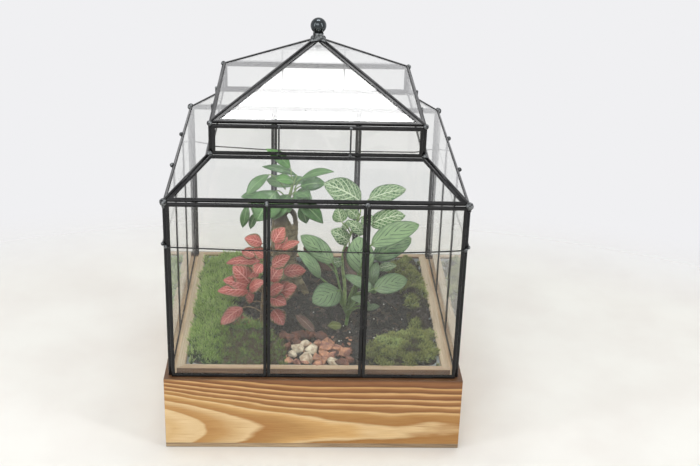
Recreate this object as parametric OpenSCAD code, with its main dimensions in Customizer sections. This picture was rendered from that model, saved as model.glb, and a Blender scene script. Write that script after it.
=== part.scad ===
// Wardian case: a soldered glass house in black U-channel came that lifts off a
// torched pine planting box. Millimetres, +Z up, front towards -Y.
// Origin at the bottom centre of the box.

/* [Glass house] */
// Outside width and depth of the glass walls
house_w = 270; // [200:1:360]
// Height of the glass walls
wall_h = 174; // [120:1:240]
// Panes side by side in each wall
wall_panes = 3; // [2:1:4]
// Sideways offset of the right-hand mullion of the back wall
back_mullion_shift = 4; // [0:0.5:8]
// Outside width of the clerestory
clerestory_w = 193.6; // [120:0.2:240]
// Rise of the sloping skirt roof
skirt_rise = 31.3; // [15:0.1:60]
// Height of the clerestory
clerestory_h = 28.1; // [20:0.1:60]
// Rise of the pyramid roof
roof_rise = 52.9; // [30:0.1:90]

/* [Came and glass] */
// Width of the came face beside the glass
came_face = 3.1; // [2.6:0.1:5]
// Depth of the came across the glass
came_depth = 3.1; // [2.8:0.1:5]
// Wall of the came's closed side
came_web = 0.8; // [0.6:0.1:1.2]
// Rounding of the came's outward edge
came_round = 0.9; // [0.5:0.1:1.1]
// Rounding of the came's inward edge
came_inner_round = 0.4; // [0.2:0.1:0.6]
// Thickness of the glass
glass_t = 2; // [1.5:0.1:2.4]
// Gap between the cames of neighbouring panes in one wall
mullion_gap = 0.2; // [0.1:0.05:0.5]
// Gap kept where the skirt meets the clerestory
valley_gap = 0.2; // [0.1:0.05:0.5]

/* [Wires] */
// Diameter of the wires round the walls
wall_wire_d = 1.35; // [1:0.05:2.5]
// Height of the front wire's ends above the ledge
wire_level = 132.6; // [80:0.1:160]
// Height of the other wires' ends above those of the front wire
wire_step = 2.2; // [0:0.1:5]
// Sag of the front wire
front_wire_sag = 3.3; // [0:0.1:8]
// Sag of the back wire
back_wire_sag = 8.6; // [0:0.1:12]
// Sag of the side wires
side_wire_sag = 1.6; // [0:0.1:6]
// Diameter of the upright wires on the clerestory
clerestory_wire_d = 1.5; // [1:0.05:2.5]
// Distance from the middle to the left wire of the clerestory front
front_wire_left = 34.5; // [15:0.5:60]
// Distance from the middle to the right wire of the clerestory front
front_wire_right = 29; // [15:0.5:60]
// Distance from the middle to the front wires of the clerestory sides
side_wire_front = 37; // [15:0.5:60]
// Distance from the middle to the back wires of the clerestory sides
side_wire_back = 17; // [10:0.5:60]
// Gap between a wire and the came faces that it crosses
wire_gap = 0.05; // [0.02:0.01:0.2]

/* [Solder and finial] */
// Radius of the solder lumps at the wall corners
corner_solder_r = 4.6; // [3.5:0.1:6]
// Radius of the solder lumps at the mullion tops
mullion_solder_r = 2.9; // [2:0.1:4]
// Radius of the solder lumps at the wire ends
wire_solder_r = 2.3; // [1.6:0.1:3.5]
// Radius of the solder lumps at the clerestory corners
clerestory_solder_r = 3.9; // [3:0.1:5]
// Diameter of the ball finial
ball_d = 15; // [8:0.5:30]
// Diameter of the solder collar under the ball
collar_d = 10.4; // [7:0.1:16]
// Height from the top of the roof to the bottom of the ball
ball_lift = 2; // [1:0.1:6]
// Gap between solder and the pieces that it holds
solder_gap = 0.05; // [0.02:0.01:0.15]

/* [Wooden box] */
// How far the box stands out beyond the glass house on each side
ledge_out = 4; // [2:0.5:12]
// Height of the box up to the ledge that carries the glass house
ledge_z = 74.3; // [45:0.1:120]
// Thickness of the bottom board
floor_t = 4.4; // [3:0.1:9]
// Thickness of the outer boards, which is the width of the ledge
board_t = 11.2; // [8:0.1:16]
// Thickness of the lining boards, which is the width of the rim
rim_t = 7.5; // [5:0.1:10]
// Height of the rim above the ledge
rim_h = 5.7; // [3:0.1:12]

/* [Liner and planting] */
// Gap between the plastic liner and the rim
liner_gap = 0.5; // [0.3:0.1:2]
// Wall of the liner
liner_t = 1.2; // [0.8:0.1:2]
// Depth of the liner's rounded inner corners
liner_corner_r = 11; // [5:0.5:25]
// Width of the liner's flange along the sides
liner_flange = 2.4; // [1.5:0.1:5]
// Depth of the liner's flange below the top of the rim
liner_drop = 1.5; // [0.5:0.1:4]
// Depth of the soil below the liner's flange
soil_drop = 2; // [1:0.1:20]
// Gap between the soil and what lies in it or beside it
soil_gap = 0.3; // [0.2:0.05:0.5]
// Height of the moss cushions
moss_h = 11; // [5:0.5:20]

/* [Hidden] */
// Half width inside the walls, up to the inner corner lines
wall_half = house_w / 2 - came_depth;
// Half width inside the clerestory
clear_half = clerestory_w / 2 - came_depth;
wall_top_z = ledge_z + wall_h;
clear_z = wall_top_z + skirt_rise;
roof_z = clear_z + clerestory_h;
// Slope, slant height and thickness of the skirt
skirt_run = wall_half - clear_half;
skirt_slope = atan2(skirt_rise, skirt_run);
skirt_len = norm([skirt_run, skirt_rise]);
// The skirt stops short so that its came clears the clerestory's
skirt_stop = skirt_len - came_depth * cos(skirt_slope) - valley_gap;
// Slope and slant height of the pyramid
roof_slope = atan2(roof_rise, clear_half);
roof_len = norm([clear_half, roof_rise]);
// Top of the roof's outer faces, where the collar stands
roof_top_z = roof_z + roof_rise + came_depth / cos(roof_slope);
ball_z = roof_top_z + ball_lift + ball_d / 2;
// Reach of the collar below the top of the roof
collar_foot = 0.45 * collar_d;
// Outside width and depth of the box
box_w = house_w + 2 * ledge_out;
// Layout of the liner and the soil
rim_z = ledge_z + rim_h;
rim_half = box_w / 2 - board_t;
liner_half = rim_half - rim_t - liner_gap;
liner_z = rim_z - liner_drop;
soil_z = liner_z - liner_t - soil_drop;
// Half width outside and inside of the liner's tray, and of the soil in it
tray_half = liner_half - liner_flange + liner_t;
soil_half = tray_half - liner_t - soil_gap;
// Planted things are drawn above the soil and move with it
plant_z = soil_z + soil_gap;
// The planting tables hold for a soil of this half width, and grow and shrink with the real one
table_half = 117.1;
plant_scale = soil_half / table_half;
cut = 1;
far_reach = 20;

// Unit vector along side i of an outline listed anticlockwise
function side_dir(p, i) =
    let (v = p[(i + 1) % len(p)] - p[i])
    v / norm(v);

// Unit vector from side i towards the inside of the outline
function side_in(p, i) =
    let (v = side_dir(p, i))
    [-v[1], v[0]];

// The outline with every side moved in by d
function inset(p, d) = [
    for (i = [0:len(p) - 1])
        let (a = side_in(p, (i + len(p) - 1) % len(p)), b = side_in(p, i))
        p[i] + d * (a + b) / (1 + a * b)
];

// Section of the U-channel: closed side at x = 0, slot open towards +X, outward face at the top
module came_section() {
    difference() {
        union() {
            translate([came_round, 0])
                square([came_face - came_round, came_depth]);
            translate([0, came_inner_round])
                square([came_round + cut / 10, came_depth - came_round - came_inner_round]);
            translate([came_round, came_depth - came_round])
                circle(r = came_round, $fn = 12);
            translate([came_inner_round, came_inner_round])
                circle(r = came_inner_round, $fn = 12);
            translate([came_inner_round, 0])
                square([came_round, came_inner_round + cut / 10]);
        }
        translate([came_web, (came_depth - glass_t) / 2])
            square([came_face, glass_t]);
    }
}

// One bar of a pane's edging, mitred at both ends
module came_bar(p, i) {
    j = (i + 1) % len(p);
    a = inset(p, -cut);
    b = inset(p, came_face + cut);
    d = side_dir(p, i);
    start = p[i] - 2 * cut * d;
    intersection() {
        translate([0, 0, -cut])
            linear_extrude(height = came_depth + 2 * cut)
                polygon([a[i], a[j], b[j], b[i]]);
        translate([start[0], start[1], 0])
            rotate([0, 0, atan2(d[1], d[0])])
                rotate([90, 0, 90])
                    linear_extrude(height = norm(p[j] - p[i]) + 4 * cut)
                        came_section();
    }
}

// U-channel all round a pane with the outline p
module came_frame(p) {
    union() {
        for (i = [0:len(p) - 1])
            came_bar(p, i);
    }
}

// The pane, seated at the bottom of the channel's slot
module pane(p) {
    translate([0, 0, (came_depth - glass_t) / 2])
        linear_extrude(height = glass_t)
            polygon(inset(p, came_web));
}

// Space that a framed pane takes up, for cutting solder
module plate(p) {
    linear_extrude(height = came_depth)
        polygon(p);
}

// Placing: side 0 is the front, 1 the right, 2 the back, 3 the left
module at_side(k) {
    rotate([0, 0, 90 * k])
        children();
}

// Drawing plane on the inner face of a wall, x along it and y up
module on_wall(k) {
    at_side(k)
        translate([0, -wall_half, ledge_z])
            rotate([90, 0, 0])
                children();
}

module on_skirt(k) {
    at_side(k)
        translate([0, -wall_half, wall_top_z])
            rotate([skirt_slope, 0, 0])
                children();
}

module on_clerestory(k) {
    at_side(k)
        translate([0, -clear_half, clear_z])
            rotate([90, 0, 0])
                children();
}

module on_roof(k) {
    at_side(k)
        translate([0, -clear_half, roof_z])
            rotate([roof_slope, 0, 0])
                children();
}

// Mullion places along a wall; the back wall is seen from outside, so its shift is to the left
function mullion_x(k) = [
    for (i = [0:wall_panes])
        -wall_half + 2 * wall_half * i / wall_panes
            - ((k == 2 && i == 1) ? back_mullion_shift : 0)
];

function wall_outline(k, i) =
    let (
        x = mullion_x(k),
        a = x[i] + (i > 0 ? mullion_gap / 2 : 0),
        b = x[i + 1] - (i < wall_panes - 1 ? mullion_gap / 2 : 0)
    )
    [[a, 0], [b, 0], [b, wall_h], [a, wall_h]];

function skirt_outline() =
    let (top = wall_half - skirt_run * skirt_stop / skirt_len)
    [[-wall_half, 0], [wall_half, 0], [top, skirt_stop], [-top, skirt_stop]];

function clerestory_outline() = [
    [-clear_half, 0], [clear_half, 0],
    [clear_half, clerestory_h], [-clear_half, clerestory_h]
];

function roof_outline() = [[-clear_half, 0], [clear_half, 0], [0, roof_len]];

module wall_came(k) {
    color("#2b2c2c")
        on_wall(k)
            for (i = [0:wall_panes - 1])
                came_frame(wall_outline(k, i));
}

module wall_glass(k) {
    color("#cfe0da", 0.35)
        on_wall(k)
            for (i = [0:wall_panes - 1])
                pane(wall_outline(k, i));
}

module skirt_came(k) {
    color("#2b2c2c")
        on_skirt(k)
            came_frame(skirt_outline());
}

module skirt_glass(k) {
    color("#cfe0da", 0.35)
        on_skirt(k)
            pane(skirt_outline());
}

module clerestory_came(k) {
    color("#2b2c2c")
        on_clerestory(k)
            came_frame(clerestory_outline());
}

module clerestory_glass(k) {
    color("#cfe0da", 0.35)
        on_clerestory(k)
            pane(clerestory_outline());
}

module roof_came(k) {
    color("#2b2c2c")
        on_roof(k)
            came_frame(roof_outline());
}

module roof_glass(k) {
    color("#cfe0da", 0.35)
        on_roof(k)
            pane(roof_outline());
}

// Wires round the walls. Shapes are [share of the span, share of the sag]; both ends lie level.
front_shape = [
    [0, 0], [0.02, 0], [0.27, 0.62], [0.45, 0.72], [0.745, 1],
    [0.785, 0.8], [0.88, 0.5], [0.98, 0], [1, 0]
];
back_shape = [
    [0, 0.72], [0.02, 0.72], [0.09, 0.98], [0.4, 1], [0.7, 0.95],
    [0.905, 0.6], [0.98, 0.2], [1, 0.2]
];
side_shape = [[0, 0], [0.02, 0], [0.3, 0.75], [0.6, 1], [0.85, 0.6], [0.98, 0], [1, 0]];
wire_sides = 10;
// The wires end at the outer corners of the walls
wire_end = wall_half + came_depth / 2;
wire_y = house_w / 2 + wall_wire_d / 2 + wire_gap;

function wire_shape(k) = k == 0 ? front_shape : (k == 2 ? back_shape : side_shape);
function wire_height(k) = k == 0 ? wire_level : wire_level + wire_step;
function wire_sag(k) = k == 0 ? front_wire_sag : (k == 2 ? back_wire_sag : side_wire_sag);

// Centre line of a wall wire in its own plane, x along the wall and y up from the ledge
function wire_line(k) = [
    for (s = wire_shape(k))
        [wire_end * (2 * s[0] - 1), wire_height(k) - wire_sag(k) * s[1], 0]
];

module on_wire_plane(k) {
    at_side(k)
        translate([0, -wire_y, ledge_z])
            rotate([90, 0, 0])
                children();
}

module wall_wire(k) {
    line = wire_line(k);
    color("#262626")
        on_wire_plane(k)
            stem(line, [for (p = line) wall_wire_d / 2], wire_sides);
}

// Upright wires of the clerestory, from bar to bar. Places seen from outside each side.
function clerestory_x(k) =
    k == 0 ? [-front_wire_left, front_wire_right]
    : (k == 1 ? [-side_wire_front, side_wire_back]
    : (k == 2 ? [-front_wire_right, front_wire_left] : [-side_wire_back, side_wire_front]));

module clerestory_wire(x, d) {
    translate([x, came_face / 2, came_depth + clerestory_wire_d / 2 + wire_gap])
        rotate([-90, 0, 0])
            cylinder(h = clerestory_h - came_face, d = d, $fn = 24);
}

module clerestory_wires() {
    color("#262626")
        for (k = [0:3])
            on_clerestory(k)
                for (x = clerestory_x(k))
                    clerestory_wire(x, clerestory_wire_d);
}

// Rooms inside the glass, which no solder reaches
module wall_room() {
    translate([-wall_half, -wall_half, ledge_z])
        cube([2 * wall_half, 2 * wall_half, wall_h]);
    intersection() {
        skirt_prism();
        at_side(1)
            skirt_prism();
    }
}

// Room under two opposite skirt panes, without the other two
module skirt_prism() {
    translate([0, wall_half, 0])
        rotate([90, 0, 0])
            linear_extrude(height = 2 * wall_half)
                polygon([
                    [-wall_half, wall_top_z - cut], [wall_half, wall_top_z - cut],
                    [wall_half, wall_top_z], [clear_half, clear_z],
                    [-clear_half, clear_z], [-wall_half, wall_top_z]
                ]);
}

module roof_prism() {
    translate([0, clear_half, 0])
        rotate([90, 0, 0])
            linear_extrude(height = 2 * clear_half)
                polygon([
                    [-clear_half, roof_z - cut], [clear_half, roof_z - cut],
                    [clear_half, roof_z], [0, roof_z + roof_rise], [-clear_half, roof_z]
                ]);
}

module clerestory_room() {
    translate([-clear_half, -clear_half, clear_z])
        cube([2 * clear_half, 2 * clear_half, clerestory_h]);
    intersection() {
        roof_prism();
        at_side(1)
            roof_prism();
    }
}

function wall_plate() = [
    [-wall_half, 0], [wall_half, 0], [wall_half, wall_h], [-wall_half, wall_h]
];

// Lump where two walls meet two skirt panes, with a drip down the corner
module wall_corner_solder() {
    c = wall_half + came_depth / 2;
    difference() {
        union() {
            translate([-c, -c, wall_top_z + came_face / 4])
                rotate([0, 0, -135])
                    sphere(r = corner_solder_r, $fn = 32);
            translate([-c, -c, wall_top_z - corner_solder_r])
                rotate([0, 0, -135])
                    sphere(r = corner_solder_r / 2, $fn = 32);
        }
        wall_room();
        for (k = [0, 3]) {
            on_wall(k)
                plate(wall_plate());
            on_skirt(k)
                plate(skirt_outline());
        }
    }
}

module mullion_solder(k, i) {
    difference() {
        on_wall(k)
            translate([mullion_x(k)[i], wall_h + came_face / 4, came_depth])
                sphere(r = mullion_solder_r, $fn = 32);
        on_wall(k)
            plate(wall_plate());
        on_skirt(k)
            plate(skirt_outline());
    }
}

// Lump over the end of a wall wire that leaves it towards -X, drawn at the wire's end
module wire_end_lump() {
    difference() {
        translate([-wire_solder_r / 2, 0, 0])
            sphere(r = wire_solder_r, $fn = 32);
        translate([-far_reach, -far_reach / 2, -far_reach])
            cube([far_reach - came_depth / 2, far_reach, far_reach - wall_wire_d / 2 - wire_gap]);
        translate([solder_gap, 0, 0])
            rotate([0, -90, 0])
                cylinder(h = 2 * wire_solder_r, d = wall_wire_d + 2 * solder_gap, $fn = 24);
    }
}

module wall_solder() {
    color("#7f8282")
        for (k = [0:3]) {
            line = wire_line(k);
            at_side(k)
                wall_corner_solder();
            for (i = [1:wall_panes - 1])
                mullion_solder(k, i);
            on_wire_plane(k) {
                translate(line[0])
                    mirror([1, 0, 0])
                        wire_end_lump();
                translate(line[len(line) - 1])
                    wire_end_lump();
            }
        }
}

// Lump at a corner of the clerestory, at the foot or at the eaves. The rooms that cut it are
// raised a little, so that its inner edge has a width.
module clerestory_corner_solder(z) {
    c = clear_half + came_depth / 2;
    difference() {
        translate([-c, -c, z + came_face / 4])
            rotate([90, 0, 0])
                sphere(r = clerestory_solder_r, $fn = 32);
        translate([0, 0, solder_gap]) {
            wall_room();
            clerestory_room();
        }
        for (k = [0, 3]) {
            on_skirt(k)
                plate(skirt_outline());
            on_clerestory(k)
                plate(clerestory_outline());
            on_roof(k)
                plate(roof_outline());
        }
    }
}

// Lumps at both ends of an upright wire
module clerestory_wire_solder(k, x) {
    difference() {
        on_clerestory(k)
            for (y = [came_face / 2, clerestory_h - came_face / 2])
                translate([x, y, came_depth])
                    sphere(r = wire_solder_r, $fn = 32);
        on_clerestory(k)
            plate(clerestory_outline());
        on_skirt(k)
            plate(skirt_outline());
        on_clerestory(k)
            clerestory_wire(x, clerestory_wire_d + 2 * solder_gap);
    }
}

// Solder collar that the ball sits in, run out a little way down each hip
module collar() {
    difference() {
        union() {
            translate([0, 0, roof_top_z - collar_foot])
                rotate_extrude($fn = 48)
                    polygon([
                        [0, 0], [collar_d * 0.72, 0], [collar_d * 0.55, collar_foot * 0.7],
                        [collar_d * 0.46, collar_foot], [collar_d * 0.5, collar_foot + ball_lift],
                        [collar_d * 0.42, collar_foot + 2 * ball_lift], [0, collar_foot + 2 * ball_lift]
                    ]);
            for (k = [0:3])
                at_side(k)
                    translate([-collar_d * 0.45, -collar_d * 0.45, roof_top_z - collar_foot * 0.8])
                        sphere(r = collar_d * 0.26, $fn = 32);
        }
        clerestory_room();
        for (k = [0:3])
            on_roof(k)
                plate(roof_outline());
        translate([0, 0, ball_z])
            sphere(d = ball_d + 2 * solder_gap, $fn = 64);
    }
}

module roof_solder() {
    color("#7f8282") {
        for (k = [0:3]) {
            for (z = [clear_z, roof_z])
                at_side(k)
                    clerestory_corner_solder(z);
            for (x = clerestory_x(k))
                clerestory_wire_solder(k, x);
        }
        collar();
    }
}

module finial_ball() {
    color("#5b5f62")
        translate([0, 0, ball_z])
            sphere(d = ball_d, $fn = 64);
}

// Wooden box: front and back boards run the full width, side boards fit between them
module box_long(k) {
    color("#dcb676")
        at_side(k)
            translate([-box_w / 2, -box_w / 2, floor_t])
                cube([box_w, board_t, ledge_z - floor_t]);
}

module box_side(k) {
    color("#dcb676")
        at_side(k)
            translate([-rim_half, -box_w / 2, floor_t])
                cube([2 * rim_half, board_t, ledge_z - floor_t]);
}

module box_floor() {
    color("#cdb28c")
        translate([-box_w / 2, -box_w / 2, 0])
            cube([box_w, box_w, floor_t]);
}

// Lining boards, mitred at the corners, whose top edges stand up as the rim
module rim_strip(k) {
    a = rim_half;
    b = rim_half - rim_t;
    color("#c4ab8d")
        at_side(k)
            translate([0, 0, floor_t])
                linear_extrude(height = rim_z - floor_t)
                    polygon([[-a, -a], [a, -a], [b, -b], [-b, -b]]);
}

// Square with rounded corners, centred on the origin
module round_square(half, r) {
    union() {
        square([2 * half - 2 * r, 2 * half], center = true);
        square([2 * half, 2 * half - 2 * r], center = true);
        for (x = [-1, 1])
            for (y = [-1, 1])
                translate([x * (half - r), y * (half - r)])
                    circle(r = r, $fn = 64);
    }
}

// Plastic tray with a flat square flange round its rounded opening
module liner() {
    color("#8d9696")
        difference() {
            union() {
                translate([0, 0, floor_t])
                    linear_extrude(height = liner_z - floor_t)
                        round_square(tray_half, liner_corner_r + liner_t);
                translate([-liner_half, -liner_half, liner_z - liner_t])
                    cube([2 * liner_half, 2 * liner_half, liner_t]);
            }
            translate([0, 0, floor_t + liner_t])
                linear_extrude(height = liner_z)
                    round_square(tray_half - liner_t, liner_corner_r);
        }
}

module soil() {
    color("#3d3a35")
        translate([0, 0, floor_t + liner_t])
            linear_extrude(height = soil_z - floor_t - liner_t)
                round_square(soil_half, liner_corner_r - soil_gap);
}

// Solid skin over rings of points, all rings with the same count, ends closed
module loft(rings) {
    n = len(rings[0]);
    m = len(rings);
    points = [for (r = rings) for (p = r) p];
    walls_a = [
        for (i = [0:m - 2]) for (j = [0:n - 1])
            [i * n + j, (i + 1) * n + j, (i + 1) * n + (j + 1) % n]
    ];
    walls_b = [
        for (i = [0:m - 2]) for (j = [0:n - 1])
            [i * n + j, (i + 1) * n + (j + 1) % n, i * n + (j + 1) % n]
    ];
    low = [for (j = [1:n - 2]) [0, j, j + 1]];
    high = [for (j = [1:n - 2]) [(m - 1) * n, (m - 1) * n + j + 1, (m - 1) * n + j]];
    polyhedron(points = points, faces = concat(walls_a, walls_b, low, high));
}

// Ring of n points round c, square to d, with a fixed sense of up
function ring(c, d, r, n) =
    let (
        e = d / norm(d),
        s = cross(e, [0.21, 0.95, 0.23]),
        u = s / norm(s),
        v = cross(e, u)
    )
    [for (j = [0:n - 1]) c + r * (cos(360 * j / n) * u + sin(360 * j / n) * v)];

function path_dir(p, i) = p[min(i + 1, len(p) - 1)] - p[max(i - 1, 0)];

// Tapering stem along a path, with one radius for each point
module stem(path, radii, sides) {
    loft([for (i = [0:len(path) - 1]) ring(path[i], path_dir(path, i), radii[i], sides)]);
}

// Half width of a leaf at the share t of its length
function leaf_edge(t) = pow(sin(180 * pow(t, 0.85)), 0.8);

// Point at the share t of the arched line from the leaf's base b to its tip e
function leaf_line(b, e, arch, t) =
    b + (e - b) * t + [0, 0, arch * norm(e - b) * 4 * t * (1 - t)];

// Four-cornered ring across a leaf: both edges, lifted in a shallow V, and the middle's two faces
function leaf_ring(c, d, across, half, thick) =
    let (
        e = d / norm(d),
        v = across - (across * e) * e,
        side = v / norm(v),
        up = cross(side, e)
    )
    [
        c + side * half + up * half * 0.25,
        c - up * thick,
        c - side * half + up * half * 0.25,
        c + up * thick
    ];

leaf_steps = 6;
leaf_thick = 0.55;
stalk_r = 0.6;
// One leaf with its stalk: from the stem at s to the leaf's base b and tip e
module leaf(s, b, e, width, arch) {
    across = cross(e - b, [0.02, 0.03, 1]);
    path = concat([s], [for (i = [0:leaf_steps]) leaf_line(b, e, arch, i / leaf_steps)]);
    halves = concat(
        [stalk_r],
        [
            for (i = [0:leaf_steps])
                let (t = i / leaf_steps)
                max(stalk_r * (1 - 0.7 * t), width / 2 * leaf_edge(t))
        ]
    );
    loft([
        for (i = [0:leaf_steps + 1])
            leaf_ring(
                path[i], path_dir(path, i), across, halves[i],
                i < 2 ? stalk_r : leaf_thick * (1 - 0.6 * i / (leaf_steps + 1))
            )
    ]);
}

// Leaf tables: stem and place along it in steps of its points, leaf base, tip, width, arch.
// Heights are above plant_z.
ficus_table = [
    [[0, 3.62], [-25, 45, 136], [-50, 42, 159], 11, 0.10],
    [[0, 2.80], [-19, 55, 125], [-55, 60, 132], 6, 0.06],
    [[0, 2.50], [-47, 45, 129], [-70, 38, 109], 9, 0.12],
    [[0, 2.05], [-39, 36, 115], [-59, 16, 90], 27, 0.16],
    [[1, 1.95], [-69, 40, 98], [-74, 36, 74], 6, 0.10],
    [[1, 1.75], [-60, 42, 89], [-66, 40, 71], 5, 0.08],
    [[0, 2.26], [-24, 46, 116], [-50, 58, 118], 12, 0.10],
    [[0, 2.46], [-22, 52, 115], [-8, 72, 117], 12, 0.08],
    [[0, 2.62], [-14, 42, 126], [19, 30, 139], 7, 0.14],
    [[0, 2.46], [-15, 44, 117], [11, 45, 120], 9, 0.16],
    [[0, 2.04], [-18, 55, 107], [-2, 68, 94], 11, 0.10],
    [[0, 1.73], [-26, 34, 112], [-42, 18, 91], 14, 0.12],
    [[0, 1.69], [-18, 38, 105], [9, 22, 86], 15, 0.16],
    [[0, 1.45], [-14, 33, 104], [-8, 26, 86], 11, 0.08],
    [[1, 1.54], [-55, 56, 101], [-77, 66, 95], 8, 0.10]
];
red_table = [
    [[0, 2.79], [-40, -38, 91], [-30, -32, 105], 11, 0.08],
    [[0, 2.65], [-38, -32, 80], [-27, -24, 91], 9, 0.08],
    [[0, 2.65], [-32, -44, 87], [-15, -48, 97], 6, 0.08],
    [[0, 2.82], [-51, -42, 92], [-68, -46, 99], 10, 0.10],
    [[0, 2.43], [-58, -30, 73], [-72, -22, 75], 9, 0.10],
    [[0, 2.54], [-49, -44, 79], [-60, -48, 89], 9, 0.08],
    [[0, 2.28], [-53, -30, 67], [-88, -20, 60], 7, 0.08],
    [[0, 1.52], [-63, -50, 53], [-79, -56, 74], 16, 0.08],
    [[0, 1.42], [-65, -54, 52], [-88, -62, 62], 10, 0.10],
    [[0, 1.29], [-64, -58, 48], [-93, -70, 54], 10, 0.10],
    [[0, 1.36], [-60, -60, 51], [-48, -74, 66], 9, 0.08],
    [[0, 1.54], [-43, -40, 50], [-31, -38, 68], 13, 0.08],
    [[0, 1.78], [-31, -28, 54], [-8, -22, 54], 12, 0.12],
    [[0, 2.32], [-51, -50, 74], [-57, -62, 68], 9, 0.10],
    [[0, 0.87], [-42, -40, 33], [-17, -44, 47], 18, 0.10],
    [[0, 0.87], [-43, -46, 35], [-27, -56, 33], 10, 0.10],
    [[0, 0.50], [-40, -44, 21], [-30, -54, 9], 12, 0.12],
    [[0, 0.53], [-70, -52, 27], [-91, -62, 17], 12, 0.12],
    [[0, 0.40], [-61, -44, 15], [-87, -54, 17], 8, 0.06],
    [[0, 0.87], [-60, -50, 33], [-68, -58, 48], 8, 0.08]
];
white_table = [
    [[0, 3.76], [41, 8, 115], [8, 4, 136], 21, 0.12],
    [[0, 3.75], [55, 14, 114], [93, 18, 121], 13, 0.16],
    [[0, 2.76], [57, 6, 91], [92, 2, 103], 16, 0.12],
    [[0, 2.43], [27, -4, 99], [22, -2, 114], 13, 0.06],
    [[0, 2.87], [42, 10, 97], [31, 18, 106], 11, 0.06],
    [[0, 2.33], [47, -2, 86], [32, -4, 101], 9, 0.06],
    [[0, 1.87], [35, -2, 77], [16, -6, 91], 14, 0.10],
    [[0, 1.00], [66, 8, 42], [85, 10, 45], 8, 0.10]
];
calathea_table = [
    [[0, 1.10], [57, -34, 86], [102, -26, 102], 25, 0.10],
    [[0, 1.25], [60, -12, 63], [98, 0, 81], 24, 0.08],
    [[0, 1.40], [47, -32, 56], [43, -20, 91], 27, 0.05],
    [[0, 1.55], [18, -30, 67], [-14, -26, 94], 17, 0.10],
    [[0, 1.70], [6, -44, 57], [-17, -46, 87], 12, 0.06],
    [[0, 1.85], [25, -56, 49], [-2, -74, 45], 24, 0.08],
    [[0, 1.15], [59, -48, 47], [92, -40, 54], 19, 0.10],
    [[0, 1.30], [56, -26, 39], [63, -18, 62], 10, 0.06],
    [[0, 1.60], [54, -58, 36], [35, -66, 46], 7, 0.10],
    [[0, 1.75], [20, -20, 53], [-11, -14, 76], 15, 0.08],
    [[0, 1.95], [51, -40, 41], [31, -46, 58], 10, 0.05]
];

// Point at the place t along a path
function along(path, t) =
    let (i = min(floor(t), len(path) - 2))
    path[i] + (path[i + 1] - path[i]) * (t - i);

module leaves(table, stems) {
    for (l = table)
        leaf(along(stems[l[0][0]], l[0][1]), l[1], l[2], l[3], l[4]);
}

module planted() {
    translate([0, 0, plant_z])
        scale(plant_scale)
            children();
}

// Swollen trunk of the ficus with two bare limbs
module ficus_trunk() {
    color("#6e5844")
        planted() {
            stem(
                [
                    [-29, 45, 0], [-29, 45, 12], [-28, 45, 36], [-27, 45, 60],
                    [-28, 44, 80], [-28, 44, 91], [-28, 44, 97]
                ],
                [17, 14, 11.5, 13, 11.5, 8, 3.5], 12
            );
            stem(
                [
                    [-27, 45, 88], [-20, 47, 96], [-13, 46, 92],
                    [-9, 44, 78], [-9, 44, 60], [-15, 44, 44]
                ],
                [3, 3, 3.4, 3.6, 3.2, 3], 8
            );
        }
}

// Stems: centre lines above plant_z and radii
ficus_stems = [
    [[-28, 44, 97.4], [-28, 44, 99], [-25, 45, 106], [-23, 46, 118], [-22, 46, 124]],
    [[-28, 44, 99], [-36, 45, 103], [-46, 46, 104]]
];
red_stems = [[[-52, -38, 0], [-51, -39, 30], [-48, -37, 60], [-45, -37, 88]]];
white_stems = [[[31, 8, 0], [31, 6, 40], [33, 5, 70], [42, 8, 90], [46, 11, 104]]];
calathea_stems = [[[33, -34, 0], [33, -35, 14], [34, -35, 24]]];

module ficus_leaves() {
    color("#5d8a4c")
        planted() {
            stem(ficus_stems[0], [2, 2, 1.7, 1.3, 0.8], 6);
            stem(ficus_stems[1], [1.6, 1.4, 0.8], 6);
            leaves(ficus_table, ficus_stems);
        }
}

module red_fittonia() {
    color("#c4645c")
        planted() {
            stem(red_stems[0], [2, 1.8, 1.5, 1], 6);
            leaves(red_table, red_stems);
        }
}

module white_fittonia() {
    color("#8db183")
        planted() {
            stem(white_stems[0], [2, 1.9, 1.7, 1.5, 0.9], 6);
            leaves(white_table, white_stems);
        }
}

module calathea() {
    color("#87a57c")
        planted() {
            stem(calathea_stems[0], [4, 3.2, 2.4], 6);
            leaves(calathea_table, calathea_stems);
        }
}

// Low cushion with a lumpy top: rings of n points shrink from the outline towards the middle
moss_rings = 4;
function moss_point(outline, mid, i, j) =
    let (
        t = i / (moss_rings + 1),
        p = outline[j] * (1 - t) + mid * t,
        h = moss_h * (0.35 + 0.65 * sin(90 * min(1, 1.5 * t)))
    )
    [p[0], p[1], h * (0.82 + 0.18 * sin(11 * p[0]) * cos(13 * p[1]))];

module moss_pad(table, centre) {
    outline = [for (p = table) near_edge(plant_scale * p)];
    mid = plant_scale * centre;
    n = len(outline);
    base = [for (p = outline) [p[0], p[1], 0]];
    translate([0, 0, plant_z])
        loft(concat(
            [base],
            [
                for (i = [0:moss_rings])
                    [for (j = [0:n - 1]) moss_point(outline, mid, i, j)]
            ]
        ));
}

// Edge that the moss keeps to along the liner's opening
moss_half = soil_half - soil_gap;
function near_edge(p) = [
    max(-moss_half, min(moss_half, p[0])),
    max(-moss_half, min(moss_half, p[1]))
];
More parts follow.
